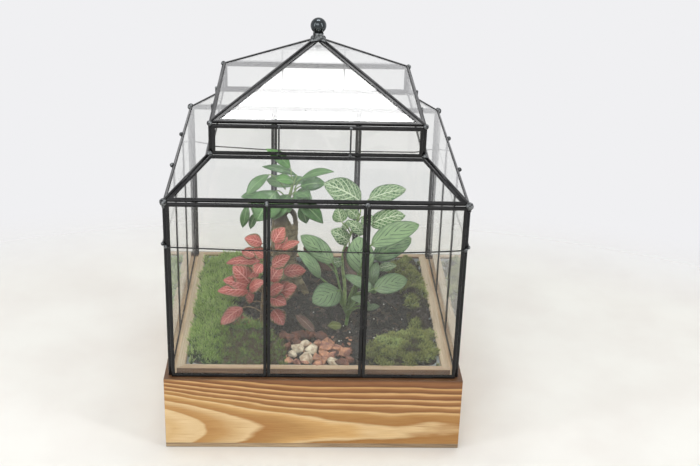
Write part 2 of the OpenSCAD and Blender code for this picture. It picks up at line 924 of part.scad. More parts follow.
// Outlines of the moss: one cushion at the left, four at the right
left_outline = [
    [-112, -106], [-104, -114], [-84, -117], [-58, -117], [-36, -116], [-27, -108],
    [-28, -86], [-33, -68], [-52, -60], [-76, -50], [-84, -30], [-80, 0],
    [-68, 30], [-58, 56], [-52, 84], [-54, 112], [-76, 117], [-100, 114],
    [-114, 100], [-117, 70], [-117, 40], [-117, 10], [-117, -20], [-117, -50],
    [-116, -80]
];
right_outlines = [
    [
        [50, -108], [60, -116], [84, -117], [104, -114], [114, -104], [117, -80],
        [117, -60], [98, -56], [80, -61], [66, -68], [52, -80]
    ],
    [[99, -55], [117, -59], [117, -30], [117, -3.5], [101, -3], [97, -28]],
    [[101, -2], [117, -2.5], [117, 25], [117, 49], [92, 50], [96, 25]],
    [[92, 51], [117, 50], [117, 75], [116, 96], [108, 112], [92, 108], [86, 80]]
];
right_middles = [[84, -88], [108, -30], [107, 25], [104, 82]];

module moss_left() {
    color("#6f9a4a")
        moss_pad(left_outline, [-88, -20]);
}

module moss_right() {
    color("#5f7042")
        for (i = [0:len(right_outlines) - 1])
            moss_pad(right_outlines[i], right_middles[i]);
}

// Broken stone: two bevelled rings, uneven by a formula of its place
function stone_ring(c, r, z, k, turn) = [
    for (j = [0:6])
        let (s = 1 + 0.16 * sin(137 * j + 61 * k + c[0] * 7))
        [c[0] + r * s * cos(turn + 51.4286 * j), c[1] + 0.85 * r * s * sin(turn + 51.4286 * j), z]
];
module stone(c, r, turn) {
    h = 1.05 * r;
    loft([
        stone_ring(c, 0.7 * r, 0, 1, turn),
        stone_ring(c, r, 0.35 * h, 2, turn),
        stone_ring(c, 0.92 * r, 0.75 * h, 3, turn),
        stone_ring(c, 0.5 * r, h, 4, turn)
    ]);
}

// Stones in front of the plants: place, radius, turn
stone_table = [
    [[-18, -109], 6.5, 10], [[-5, -111], 6, 40], [[8, -110], 7, 75], [[21, -112], 6, 15],
    [[33, -108], 5.5, 50], [[-14, -97], 7.5, 30], [[0, -98], 9, 65], [[14, -98], 8, 5],
    [[27, -97], 7, 35], [[-8, -86], 6.5, 55], [[6, -85], 7, 20], [[19, -84], 6.5, 70],
    [[-20, -84], 5.5, 25], [[31, -84], 4.5, 60]
];
module stones() {
    color("#a97b66")
        planted()
            for (s = stone_table)
                stone(s[0], s[1], s[2]);
}

wall_came(0);  // wall_came_front
wall_came(1);  // wall_came_right
wall_came(2);  // wall_came_back
wall_came(3);  // wall_came_left
wall_glass(0);  // wall_glass_front
wall_glass(1);  // wall_glass_right
wall_glass(2);  // wall_glass_back
wall_glass(3);  // wall_glass_left
skirt_came(0);  // skirt_came_front
skirt_came(1);  // skirt_came_right
skirt_came(2);  // skirt_came_back
skirt_came(3);  // skirt_came_left
skirt_glass(0);  // skirt_glass_front
skirt_glass(1);  // skirt_glass_right
skirt_glass(2);  // skirt_glass_back
skirt_glass(3);  // skirt_glass_left
clerestory_came(0);  // clerestory_came_front
clerestory_came(1);  // clerestory_came_right
clerestory_came(2);  // clerestory_came_back
clerestory_came(3);  // clerestory_came_left
clerestory_glass(0);  // clerestory_glass_front
clerestory_glass(1);  // clerestory_glass_right
clerestory_glass(2);  // clerestory_glass_back
clerestory_glass(3);  // clerestory_glass_left
roof_came(0);  // roof_came_front
roof_came(1);  // roof_came_right
roof_came(2);  // roof_came_back
roof_came(3);  // roof_came_left
roof_glass(0);  // roof_glass_front
roof_glass(1);  // roof_glass_right
roof_glass(2);  // roof_glass_back
roof_glass(3);  // roof_glass_left
wall_wire(0);  // wall_wire_front
wall_wire(1);  // wall_wire_right
wall_wire(2);  // wall_wire_back
wall_wire(3);  // wall_wire_left
clerestory_wires();
wall_solder();
roof_solder();
finial_ball();
box_long(0);  // box_front
box_long(2);  // box_back
box_side(3);  // box_left
box_side(1);  // box_right
box_floor();
rim_strip(0);  // rim_front
rim_strip(2);  // rim_back
rim_strip(3);  // rim_left
rim_strip(1);  // rim_right
liner();
soil();
moss_left();
moss_right();
stones();
ficus_trunk();
ficus_leaves();
red_fittonia();
white_fittonia();
calathea();
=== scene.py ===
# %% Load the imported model
import math
import random

import bmesh
import bpy
from mathutils import Matrix, Vector, noise
from mathutils.bvhtree import BVHTree


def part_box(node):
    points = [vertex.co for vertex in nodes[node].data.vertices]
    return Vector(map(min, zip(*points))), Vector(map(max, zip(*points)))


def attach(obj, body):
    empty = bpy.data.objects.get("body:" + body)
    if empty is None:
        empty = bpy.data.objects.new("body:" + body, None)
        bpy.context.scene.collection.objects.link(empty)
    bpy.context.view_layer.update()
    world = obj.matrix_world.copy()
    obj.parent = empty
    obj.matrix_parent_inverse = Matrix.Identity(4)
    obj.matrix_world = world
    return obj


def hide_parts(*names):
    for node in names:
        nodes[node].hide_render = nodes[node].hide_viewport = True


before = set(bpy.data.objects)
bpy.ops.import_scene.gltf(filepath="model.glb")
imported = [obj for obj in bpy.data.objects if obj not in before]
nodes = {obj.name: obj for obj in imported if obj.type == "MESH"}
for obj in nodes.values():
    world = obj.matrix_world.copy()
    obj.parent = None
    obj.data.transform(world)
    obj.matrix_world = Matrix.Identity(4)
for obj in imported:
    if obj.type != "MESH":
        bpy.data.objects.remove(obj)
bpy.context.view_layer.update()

MM = 0.001

# %% [markdown]
# # Dressing a small wardian case
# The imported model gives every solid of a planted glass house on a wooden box: cames, panes,
# wires, solder, boards, liner and rough forms of the plants. Blender adds what a solid can't
# say. The panes, wires, rim and liner keep their solids and get finishes. All else is
# replaced by fuller pieces in the same places.
#
# ## Where the camera stands
# The photograph was taken from a little above with a lens of about 60 mm. The camera's place
# was worked out from the corners of the case and is given as three directions and a point.

# %% Camera
def linked(name, data):
    made = bpy.data.objects.new(name, data)
    bpy.context.collection.objects.link(made)
    return made


camera_data = bpy.data.cameras.new("photo_camera")
camera_data.lens = 59.88
camera_data.sensor_width = 36.0
camera = linked("photo_camera", camera_data)
camera_right = Vector((0.99894229, -0.03509875, 0.02970491))
camera_up = Vector((-0.01279519, 0.40831905, 0.9127496))
camera_back = Vector((-0.04416545, -0.91216425, 0.40743808))
camera_place = Vector((-16.135, -1069.979, 640.215)) * MM
camera.matrix_world = Matrix([
    [camera_right[i], camera_up[i], camera_back[i], camera_place[i]] for i in range(3)
] + [[0, 0, 0, 1]])
bpy.context.scene.camera = camera
bpy.context.scene.view_settings.view_transform = "Standard"
print("camera at", tuple(round(v, 3) for v in camera_place))

# %% [markdown]
# ## Short calls for shader nodes
# A material is a small graph, called `g` here. `node` adds a node, fills its sockets and
# gives back its outputs, and a few other calls wrap the nodes used most. Colours are written
# as on a screen, and `put` turns them into the linear values of a socket. A `Finish` is the
# graph of one material with its Principled shader.


# %% Colours and graph calls
def linear(code):
    parts = [int(code[i:i + 2], 16) / 255 for i in (1, 3, 5)]
    return tuple(c / 12.92 if c < 0.04045 else ((c + 0.055) / 1.055) ** 2.4 for c in parts) + (1,)


class Graph:
    def __init__(self, tree):
        self.tree = tree

    def put(self, socket, value):
        if isinstance(value, bpy.types.NodeSocket):
            self.tree.links.new(value, socket)
        else:
            socket.default_value = linear(value) if isinstance(value, str) else value

    def node(self, kind, values=None, **settings):
        made = self.tree.nodes.new("ShaderNode" + kind)
        for key, value in settings.items():
            setattr(made, key, value)
        for key, value in (values or {}).items():
            self.put(made.inputs[key], value)
        return made.outputs

    def use(self, group, values):
        return self.node("Group", values, node_tree=group)

    def math(self, operation, *values):
        return self.node("Math", dict(enumerate(values)), operation=operation)[0]

    def mix(self, factor, a, b, kind="MIX"):
        return self.node("Mix", {0: factor, 6: a, 7: b}, data_type="RGBA", blend_type=kind)[2]

    def step(self, value, low, high, at_low=0.0, at_high=1.0):
        values = dict(enumerate((value, low, high, at_low, at_high)))
        return self.node("MapRange", values, interpolation_type="SMOOTHSTEP")[0]

    def ramp(self, factor, stops):
        made = self.tree.nodes.new("ShaderNodeValToRGB")
        self.put(made.inputs[0], factor)
        bar = made.color_ramp.elements
        while len(bar) < len(stops):
            bar.new(1.0)
        for element, (place, colour) in zip(bar, stops):
            element.position, element.color = place, linear(colour)
        return made.outputs[0]

    def noise(self, vector, scale, detail=3.0, rough=0.55):
        values = {"Vector": vector, "Scale": scale, "Detail": detail, "Roughness": rough}
        return self.node("TexNoise", values)[0]

    def stretched(self, vector, *scale):
        return self.node("Mapping", {"Vector": vector, "Scale": scale})[0]

    def place(self):
        return self.node("TexCoord")["Object"]

    def parts(self, vector):
        return self.node("SeparateXYZ", {0: vector})

    def facing(self):
        return self.parts(self.node("NewGeometry")["Normal"])

    def attribute(self, name):
        return self.node("Attribute", attribute_name=name)["Fac"]

    def bump(self, height, strength, distance):
        values = {"Strength": strength, "Distance": distance, "Height": height}
        return self.node("Bump", values)[0]


class Finish(Graph):
    def __init__(self, name, **values):
        self.material = bpy.data.materials.new(name)
        self.material.use_nodes = True
        super().__init__(self.material.node_tree)
        self.shader = self.tree.nodes["Principled BSDF"]
        for label, value in values.items():
            self.set(label.replace("_", " "), value)

    def set(self, label, value):
        self.put(self.shader.inputs[label], value)

    def coat(self, colour, height, strength, distance):
        self.set("Base Color", colour)
        self.set("Normal", self.bump(height, strength, distance))
        return self.material

    def surface(self, factor, second, first=None):
        first = self.shader.outputs[0] if first is None else first
        both = self.node("MixShader", {0: factor, 1: first, 2: second})
        self.put(self.tree.nodes["Material Output"].inputs[0], both[0])
        return self.material


def open_group(name, **inputs):
    tree = bpy.data.node_groups.new(name, "ShaderNodeTree")
    for label, value in inputs.items():
        kind = "NodeSocketColor" if isinstance(value, tuple) else "NodeSocketFloat"
        socket = tree.interface.new_socket(name=label, in_out="INPUT", socket_type=kind)
        socket.default_value = value
    return Graph(tree), tree.nodes.new("NodeGroupInput").outputs


def close_group(g, **outputs):
    for label in outputs:
        kind = "NodeSocketColor" if label == "Colour" else "NodeSocketFloat"
        g.tree.interface.new_socket(name=label, in_out="OUTPUT", socket_type=kind)
    wanted = g.tree.nodes.new("NodeGroupOutput").inputs
    for label, value in outputs.items():
        g.put(wanted[label], value)
    print("group", g.tree.name, "gives", ", ".join(outputs))
    return g.tree


print("a mid grey is", [round(v, 3) for v in linear("#808080")])

# %% [markdown]
# ## Floor, backdrop and light
# The case stands on a pale sheet that runs out softly into a pale wall. The floor is a disc
# whose edge fades, and beyond it the world gives the wall's colour to the camera, to metal
# and to glass. As a light the world is dimmer, helped by lamps in front and a softbox above.
# The front roof pane mirrors the softbox, which gives it its white sheet of light and leaves
# the skirt pane below it clear.


# %% Floor and world
def as_mesh(name, bm):
    mesh = bpy.data.meshes.new(name)
    bm.to_mesh(mesh)
    bm.free()
    return mesh


def link_mesh(name, bm):
    return linked(name, as_mesh(name, bm))


bm = bmesh.new()
bmesh.ops.create_circle(bm, cap_ends=True, segments=96, radius=1.9,
                        matrix=Matrix.Translation((0, -0.5, -0.0004)))
floor = link_mesh("floor_sheet", bm)
g = Finish("pale_sheet", Roughness=0.7, Specular_IOR_Level=0.15)
stain = g.step(g.noise(g.place(), 9.0), 0.3, 0.75)
g.set("Base Color", g.mix(stain, "#e3e2dd", "#dddad5"))
from_middle = g.node("Mapping", {"Vector": g.place(), "Location": (0, 0.62, 0)})[0]
distance = g.node("VectorMath", {0: from_middle}, operation="LENGTH")[1]
fade_start, fade_end = 0.86, 1.12
fade = g.step(distance, fade_start, fade_end)
floor.data.materials.append(g.surface(fade, g.node("BsdfTransparent")[0]))

world = bpy.data.worlds.new("pale_room")
bpy.context.scene.world = world
world.use_nodes = True
g = Graph(world.node_tree)
ray = g.node("LightPath")
seen = g.math("MAXIMUM", ray["Is Camera Ray"], ray["Is Glossy Ray"])
seen = g.math("MAXIMUM", seen, ray["Is Transmission Ray"])
room = world.node_tree.nodes["Background"].inputs
strength_as_light, strength_as_seen = 0.52, 1.0
g.put(room["Color"], g.mix(seen, (1, 1, 1, 1), "#f0f0f2"))
g.put(room["Strength"], g.step(seen, 0.0, 1.0, strength_as_light, strength_as_seen))
print("floor and world ready")

# %% Softbox above and lamps in front
bm = bmesh.new()
half_turn, half_size = Matrix.Rotation(math.pi, 4, "X"), Matrix.Diagonal((0.9, 0.5, 1, 1))
bmesh.ops.create_grid(bm, x_segments=1, y_segments=1, size=0.5,
                      matrix=Matrix.Translation((0.02, 0.22, 1.83)) @ half_turn @ half_size)
softbox = link_mesh("softbox", bm)
g = Finish("softbox_glow")
depth = g.parts(g.place())[1]
bright_part = g.step(depth, 0.32, 0.375, 8.0, 0.0)
weak_part = g.step(depth, 0.37, 0.44, 3.6, 1.3)
level = g.math("ADD", bright_part, weak_part)
shine = g.node("Emission", {"Color": (1, 1, 1, 1), "Strength": level})[0]
behind = g.node("NewGeometry")["Backfacing"]
dark = g.node("BsdfTransparent")[0]
softbox.data.materials.append(g.surface(behind, dark, shine))
softbox.visible_camera = False

for name, place, aim, width, height, power in (
    ("front_lamp", (-0.5, -1.9, 1.5), (0, 0, 0.15), 1.6, 1.0, 20),
    ("right_strip", (1.3, -0.9, 0.9), (0, 0, 0.25), 0.25, 1.4, 9),
    ("left_strip", (-1.3, -0.7, 0.9), (0, 0, 0.25), 0.25, 1.4, 8),
):
    data = bpy.data.lights.new(name, "AREA")
    data.shape = "RECTANGLE"
    data.size, data.size_y, data.energy = width, height, power
    lamp = linked(name, data)
    lamp.location = place
    lamp.rotation_euler = (Vector(aim) - Vector(place)).to_track_quat("-Z", "Y").to_euler()

# %% [markdown]
# ## Effects that several finishes share
# Real surfaces are never one colour. *mottle* gives soft patches between two colours and the
# value behind them, *wood_grain* gives pine with its rings drawn as long tongues, and
# *leaf_veins* reads a leaf's own UV map, where u runs across the blade and v along it.

# %% Mottle
g, given = open_group(
    "mottle", Scale=200.0, Low=0.35, High=0.65, Dark=(0, 0, 0, 1), Light=(1, 1, 1, 1))
patch = g.step(g.noise(g.place(), given["Scale"], 4.0), given["Low"], given["High"])
mottle = close_group(g, Colour=g.mix(patch, given["Dark"], given["Light"]), Value=patch)

# %% [markdown]
# ### Growth rings
# A flat-sawn board cuts the rings at a slant, so they show as nested tongues. The ring number
# is the distance from a line at mid height whose offset grows along the board: the tongues
# are narrow near the left end and run level towards the right. A list of light early wood and
# dark late wood colours that number.

# %% Wood grain
rings = [
    (8, "#dabf90"), (14, "#d2b27e"), (20, "#dcc395"), (24.0, "#dcc395"), (24.8, "#b48950"),
    (28, "#bd965e"), (32.6, "#dcc395"), (33.5, "#a87a42"), (36, "#b18a52"), (38.2, "#cda76c"),
    (39.3, "#dcc395"), (40.1, "#a2763e"), (42.4, "#ad834a"), (43.6, "#d9ba84"), (44.4, "#86592e"),
    (46.2, "#a27543"), (47.5, "#dcb982"), (48.2, "#7d5029"), (50.0, "#9d703e"), (51.5, "#dab680"),
    (52.2, "#784b26"), (54.3, "#9a6b3b"), (55.9, "#d8b27a"), (56.7, "#6f4623"), (58.8, "#926437"),
    (60.4, "#cca56c"), (61.2, "#694121"), (64, "#8e6037"), (68, "#5d3a1f"),
]
first_ring, last_ring = rings[0][0], rings[-1][0]
spread = last_ring - first_ring
ring_middle, first_offset, opening = 19.5, 10.0, -60.0
g, given = open_group("wood_grain", Along=0.0, Height=0.0, Growth=30.0)
flat = g.node("CombineXYZ", {0: given["Along"], 1: given["Height"]})[0]
decay = g.math("EXPONENT", g.math("DIVIDE", given["Along"], opening))
drift = g.math("SUBTRACT", 1.0, decay)
drift = g.math("MULTIPLY_ADD", drift, given["Growth"], first_offset)
rise = g.math("SUBTRACT", given["Height"], ring_middle)
ring = g.math("ADD", g.math("POWER", rise, 2.0), g.math("POWER", drift, 2.0))
ring = g.math("SQRT", ring)
sway = g.noise(g.stretched(flat, 0.011, 0.05, 1), 1.0, 2.0)
fine = g.noise(g.stretched(flat, 0.06, 1.6, 1), 1.0, 3.0, 0.6)
for wobble, reach in ((sway, 5.0), (fine, 1.0)):
    ring = g.math("MULTIPLY_ADD", g.math("SUBTRACT", wobble, 0.5), reach, ring)
number = g.node("MapRange", {0: ring, 1: first_ring, 2: last_ring})[0]
colour = g.ramp(number, [((r - first_ring) / spread, c) for r, c in rings])
fibre = g.noise(g.stretched(flat, 0.035, 3.2, 1), 1.0, 4.0, 0.65)
streak = g.step(fibre, 0.35, 0.75, 0.0, 0.6)
colour = g.mix(streak, colour, "#c2935a", "MULTIPLY")
wood_grain = close_group(g, Colour=colour, Fibre=fibre)

# %% Leaf veins
g, given = open_group("leaf_veins", Count=8.0, Slant=0.3, Width=0.2, Midrib=0.06)
across, along = g.parts(g.node("UVMap", uv_map="blade")[0])[:2]
signed = g.math("SUBTRACT", across, 0.5)
side = g.math("MULTIPLY", g.math("ABSOLUTE", signed), 2.0)
slant = g.math("MULTIPLY", g.math("POWER", side, 1.25), given["Slant"])
half = g.math("MULTIPLY", g.math("GREATER_THAN", signed, 0.0), 0.5)
turn = g.math("MULTIPLY_ADD", g.math("SUBTRACT", along, slant), given["Count"], half)
wave = g.math("ABSOLUTE", g.math("SUBTRACT", g.math("FRACT", turn), 0.5))
thin = g.math("MULTIPLY", given["Width"], g.step(side, 0.0, 1.1, 1.0, 0.6))
lateral = g.step(g.math("DIVIDE", wave, thin), 0.0, 1.0, 1.0, 0.0)
lateral = g.math("MULTIPLY", lateral, g.step(side, 0.85, 1.0, 1.0, 0.0))
midrib = g.step(g.math("DIVIDE", side, given["Midrib"]), 0.3, 1.0, 1.0, 0.0)
leaf_veins = close_group(g, Midrib=midrib, Laterals=lateral, Edge=side)

# %% [markdown]
# ## Metal and glass
# The cames are near black and satin, with patches where the patina is thinner. The wires are
# the same black, a little less glossy. A pane is a closed slab of clear glass, warmest in the
# walls and clearest in the roof. Shadow and diffuse rays go straight through it, so light
# reaches the plants without the noise of refraction.


# %% Metal and glass finishes
def patches(g, scale, dark, light, **more):
    return g.use(mottle, {"Scale": scale, "Dark": dark, "Light": light, **more})


def mottled(name, scale, dark, light, bump, rough, **values):
    g = Finish(name, Roughness=rough, **values)
    out = patches(g, scale, dark, light)
    g.set("Roughness", g.step(out["Value"], 0.0, 1.0, rough * 0.8, rough * 1.25))
    return g.coat(out["Colour"], g.noise(g.place(), scale * 4, 2.0), 0.5, bump)


def pane_finish(name, ior, dark, light):
    g = Finish(name, Roughness=0.0, IOR=ior, Transmission_Weight=1.0)
    g.set("Base Color", patches(g, 14, dark, light)["Colour"])
    ray = g.node("LightPath")
    straight = g.math("MAXIMUM", ray["Is Shadow Ray"], ray["Is Diffuse Ray"])
    clear = g.node("BsdfTransparent", {"Color": (0.93, 0.95, 0.94, 1)})[0]
    return g.surface(straight, clear)


def finish_node(name, material):
    slots = nodes[name].data.materials
    slots.clear()
    slots.append(material)


came_finish = mottled(
    "black_patina", 40, "#0e0e0f", "#19191a", 0.00002, 0.25, Specular_IOR_Level=0.32)
wire_finish = mottled("black_wire", 300, "#131313", "#222222", 0.00002, 0.33)
solder_finish = mottled("dull_solder", 380, "#202122", "#7d8081", 0.00008, 0.36, Metallic=0.7)
panes = {part: pane_finish(part + "_pane", *row) for part, *row in (
    ("wall", 1.44, (0.924, 0.928, 0.908, 1), (0.942, 0.942, 0.924, 1)),
    ("skirt", 1.64, (0.94, 0.948, 0.932, 1), (0.958, 0.962, 0.948, 1)),
    ("roof", 1.48, (0.98, 0.985, 0.98, 1), (0.99, 0.993, 0.99, 1)),
)}
for name in sorted(nodes):
    if "_glass_" in name:
        finish_node(name, panes.get(name.split("_")[0], panes["wall"]))
    elif "wire" in name:
        finish_node(name, wire_finish)
print("finished:", sum("_glass_" in n or "wire" in n for n in nodes), "nodes")

# %% [markdown]
# ## Making and keeping pieces
# Each new piece is built in one bmesh, then linked, given its materials and told which body
# it moves with, and the solids it stands for are hidden. A copy of a solid is merged first,
# because an imported solid is loose triangles. A voxel skin turns such a copy into even small
# faces.


# %% Helpers for pieces
def keep(name, bm, slot, materials, replaced=(), body="planter", smooth=True):
    for face in bm.faces:
        face.smooth = smooth
    made = link_mesh(name, bm)
    for material in materials:
        made.data.materials.append(material)
    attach(made, body)
    if replaced:
        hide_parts(*replaced)
    made.data.calc_loop_triangles()
    print(name, "has", len(made.data.loop_triangles), "triangles")
    return made


def merged(*names):
    bm = bmesh.new()
    for name in names:
        bm.from_mesh(nodes[name].data)
    bmesh.ops.remove_doubles(bm, verts=bm.verts, dist=1e-6)
    return bm


def skinned(bm, voxel):
    made = link_mesh("skin", bm)
    skin = made.modifiers.new("skin", "REMESH")
    skin.mode = "VOXEL"
    skin.voxel_size = voxel
    fresh = bmesh.new()
    fresh.from_object(made, bpy.context.evaluated_depsgraph_get())
    mesh = made.data
    bpy.data.objects.remove(made)
    bpy.data.meshes.remove(mesh)
    return fresh


def bevelled(bm, edges, offset, segments=2):
    bmesh.ops.bevel(
        bm, geom=edges, offset=offset, offset_type="OFFSET", segments=segments, profile=0.5,
        affect="EDGES", material=-1, clamp_overlap=True)


def roughen(bm, amount, size):
    bm.normal_update()
    moves = [v.normal * amount * noise.fractal(v.co / size, 0.9, 2.0, 3) for v in bm.verts]
    for v, move in zip(bm.verts, moves):
        v.co += move


# %% [markdown]
# ## Cames
# A came is drawn through rollers, so its edges are rounded, and they are the thin light lines
# on the photographed frames. Each frame's solid is merged, its flat faces are joined again
# and its sharp edges bevelled.

# %% Rolled cames
for node in sorted(n for n in nodes if "_came_" in n):
    bm = merged(node)
    bmesh.ops.dissolve_limit(bm, angle_limit=0.01, verts=bm.verts[:], edges=bm.edges[:])
    bevelled(bm, [e for e in bm.edges if e.calc_face_angle() > 1.0], 0.3 * MM)
    for edge in bm.edges:
        edge.smooth = edge.calc_face_angle(0) < 0.9
    keep(node + "_rolled", bm, "came", [came_finish], [node], "glass_house")

# %% [markdown]
# ## Solder and finial
# Solder is melted on by hand, so the lumps are uneven: a fine voxel skin of the solids' round
# lumps is pushed about by noise and smoothed, and all but those at the apex are drawn
# smaller. The ball is spun from half a circle.

# %% Solder lumps
def islands(bm):
    left = set(bm.verts)
    while left:
        group, edge = [], [left.pop()]
        while edge:
            v = edge.pop()
            group.append(v)
            fresh = [w for w in (e.other_vert(v) for e in v.link_edges) if w in left]
            left.difference_update(fresh)
            edge.extend(fresh)
        yield group


apex = 0.35
for node, shrink in (("wall_solder", 0.78), ("roof_solder", 0.66)):
    bm = skinned(merged(node), 0.45 * MM)
    roughen(bm, 0.30 * MM, 2.2 * MM)
    for lump in islands(bm):
        centre = sum((v.co for v in lump), Vector()) / len(lump)
        if centre.z < apex:
            for v in lump:
                v.co = centre.lerp(v.co, shrink)
    bmesh.ops.smooth_vert(
        bm, verts=bm.verts, factor=0.4, use_axis_x=True, use_axis_y=True, use_axis_z=True)
    keep(node + "_lumps", bm, "solder", [solder_finish], [node], "glass_house")

# %% Ball
ball_low, ball_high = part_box("finial_ball")
ball_r = (ball_high.z - ball_low.z) / 2
ball_z = (ball_high.z + ball_low.z) / 2
bm = bmesh.new()
outline = []
for i in range(25):
    angle = math.radians(-90 + 7.5 * i)
    outline.append(bm.verts.new((ball_r * math.cos(angle), 0, ball_z + ball_r * math.sin(angle))))
edges = [bm.edges.new(pair) for pair in zip(outline, outline[1:])]
bmesh.ops.spin(
    bm, geom=outline + edges, cent=(0, 0, 0), axis=(0, 0, 1), angle=math.tau, steps=48,
    use_merge=True)
bmesh.ops.remove_doubles(bm, verts=bm.verts, dist=1e-6)
bmesh.ops.recalc_face_normals(bm, faces=bm.faces)
ball_finish = mottled("dark_ball", 90, "#3c4042", "#545a5d", 0.00002, 0.14, Metallic=0.9)
keep("finial_ball_spun", bm, "ball", [ball_finish], ["finial_ball"], "glass_house")

# %% [markdown]
# ## The torched box
# The boards are pine whose face was singed with a torch and rubbed, so the late wood is brown
# and the early wood stays cream. They share one grain group, each with its own place in it.
# The top edge is the ledge: singed darker, except for a pale strip where the glass house
# stands, which is partly wood the torch missed and partly painted light against the shade by
# the glass.


# %% Wood finishes and boards
board_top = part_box("box_front")[1].z
scorch_depth = 0.0022
glass_line = (0.1345, 0.1365)


def torched(name, axis, shift, stretch, height, growth):
    g = Finish(name, Roughness=0.46)
    parts = g.parts(g.place())
    along = g.math("MULTIPLY_ADD", parts[axis], stretch, shift)
    up = g.math("MULTIPLY_ADD", parts[2], *height)
    grain = g.use(wood_grain, {"Along": along, "Height": up, "Growth": growth})
    rub = g.step(grain["Fibre"], 0.3, 0.7)
    top = g.mix(rub, "#6a482e", "#8d6845")
    scorch = g.step(parts[2], board_top - scorch_depth, board_top, 0.0, 0.7)
    if axis == 1:
        # The pale strip under the glass: partly unburnt wood, partly painted light against the
        # shade by the glass.
        unburnt_lit_strip = g.mix(rub, "#c9ab88", "#e4cbab")
        out_from_glass = g.step(g.math("ABSOLUTE", parts[0]), *glass_line)
        top = g.mix(out_from_glass, unburnt_lit_strip, top)
        scorch = g.math("MULTIPLY", scorch, out_from_glass)
    facing = g.facing()
    colour = g.mix(g.step(facing[2], 0.3, 0.8), grain["Colour"], top)
    end = g.step(g.math("ABSOLUTE", facing[axis]), 0.6, 0.9)
    colour = g.mix(end, colour, g.mix(rub, "#8a6038", "#a67c4c"))
    return g.coat(g.mix(scorch, colour, "#4e321c"), grain["Fibre"], 0.35, 0.00015)


def board(name, node, slot, material, round_off=0.5):
    low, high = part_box(node)
    bm = bmesh.new()
    size = Matrix.Diagonal((*(high - low), 1))
    bmesh.ops.create_cube(bm, size=1, matrix=Matrix.Translation((low + high) / 2) @ size)
    bevelled(bm, bm.edges[:], round_off * MM)
    keep(name, bm, slot, [material], [node], "base", smooth=False)


for side, *grain in (
    ("front", 0, 139.0, 1000.0, (1000.0, 0.0), 30.0),
    ("back", 0, 190.0, -1000.0, (700.0, 18.0), 26.0),
    ("left", 1, 240.0, 700.0, (640.0, 20.0), 31.0),
    ("right", 1, 330.0, -800.0, (820.0, 12.0), 29.0),
):
    board(side + "_board", "box_" + side, "torched_wood", torched("torched_" + side, *grain))

# %% [markdown]
# The bottom board shows only as a thin paler edge. The rim's four mitred strips keep their
# solids and get a stained finish: pale on top, partly rubbed and partly painted light, and
# brown on the faces of the long ones, partly torched and partly painted shade from the glass.
# The faces of the other two are painted paler than their tops, painted light against the
# shade of the narrow gap by the glass.


# %% Bottom board and rim
def streaked(name, scale, dark, light, face_dark, face_light):
    g = Finish(name, Roughness=0.55)
    fibre = g.noise(g.stretched(g.place(), *scale), 1.0, 4.0, 0.6)
    broad = g.noise(g.stretched(g.place(), *[s / 6 for s in scale]), 1.0, 2.0)
    value = g.math("MULTIPLY_ADD", fibre, 0.6, g.math("MULTIPLY", broad, 0.4))
    value = g.step(value, 0.35, 0.65)
    # Tops and faces get their own colours; on the rim this carries painted light and shade.
    upper = g.step(g.facing()[2], 0.3, 0.8)
    low, high = g.mix(value, face_dark, face_light), g.mix(value, dark, light)
    return g.coat(g.mix(upper, low, high), value, 0.3, 0.0001)


along_x, along_y = (25, 1100, 900), (1100, 25, 900)
# Long strips: brown faces, partly torched, partly painted shade. Side strips: faces painted paler
# than the tops, painted light against the shade by the glass.
rim_long = streaked("rim_long", along_x, "#a78869", "#c9b095", "#674a34", "#8a6848")
rim_side = streaked("rim_side", along_y, "#ab9277", "#ccb9a0", "#c3a684", "#dcc4a2")
floor_wood = streaked("bottom_edge", along_x, "#9c866a", "#b8a284", "#77624a", "#b39c7b")
for side in ("front", "back", "left", "right"):
    finish_node("rim_" + side, rim_long if side in ("front", "back") else rim_side)
board("bottom_board", "box_floor", "floor_wood", floor_wood, 0.35)

# %% Liner
g = Finish("grey_plastic", Roughness=0.32, IOR=1.49, Transmission_Weight=0.25)
out = patches(g, 150, "#8b9092", "#989da0")
finish_node("liner", g.coat(out["Colour"], out["Value"], 0.3, 0.0004))
print("liner finished")

# %% [markdown]
# ## Soil
# Damp potting soil is a dark crumbly surface with white grains of perlite. The solid becomes
# a voxel skin that noise makes uneven, and crumbs lie on it. A crumb is one small faceted
# ball, copied out of round to random places that a ray from above finds on the ground. Fixed
# seeds make each run the same.


# %% Ground and crumbs
def ground_tree(*names):
    bm = merged(*names)
    tree = BVHTree.FromBMesh(bm)
    bm.free()
    return tree


def drop(tree, x, y):
    return tree.ray_cast(Vector((x, y, 0.2)), Vector((0, 0, -1)))


def take_in(bm, mesh):
    bm.from_mesh(mesh)
    bpy.data.meshes.remove(mesh)


def scatter(bm, shape, places):
    for matrix, value in places:
        copy = shape.copy()
        copy.transform(matrix)
        shade = copy.attributes["shade"].data
        shade.foreach_set("value", [value] * len(shade))
        take_in(bm, copy)


def shaded_bmesh():
    bm = bmesh.new()
    bm.verts.layers.float.new("tip")
    bm.verts.layers.float.new("shade")
    return bm


def swivel(rng, low, high, size=4):
    spin = Matrix.Rotation(rng.uniform(0, math.tau), size, "Z")
    return spin @ Matrix.Rotation(rng.uniform(low, high), size, "X")


def turned(rng, place, size):
    turn = swivel(rng, -math.pi, math.pi)
    stretch = Matrix.Diagonal([size * rng.uniform(0.7, 1.3) for _ in range(3)] + [1])
    return Matrix.Translation(place) @ turn @ stretch


crumb_count, small_grain_count = 1900, 26
rng = random.Random(11)
soil_tree = ground_tree("soil")
cushion_tree = ground_tree("moss_left", "moss_right")
soil_low, soil_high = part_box("soil")
g = Finish("damp_soil", Roughness=0.9)
out = patches(g, 420, "#0b0908", "#251f19")
colour = g.mix(g.attribute("shade"), out["Colour"], "#5c5146")
soil_finish = g.coat(colour, out["Value"], 0.8, 0.0006)
bm = skinned(merged("soil"), 2.0 * MM)
roughen(bm, 1.3 * MM, 7 * MM)
keep("soil_ground", bm, "soil", [soil_finish], ["soil"])

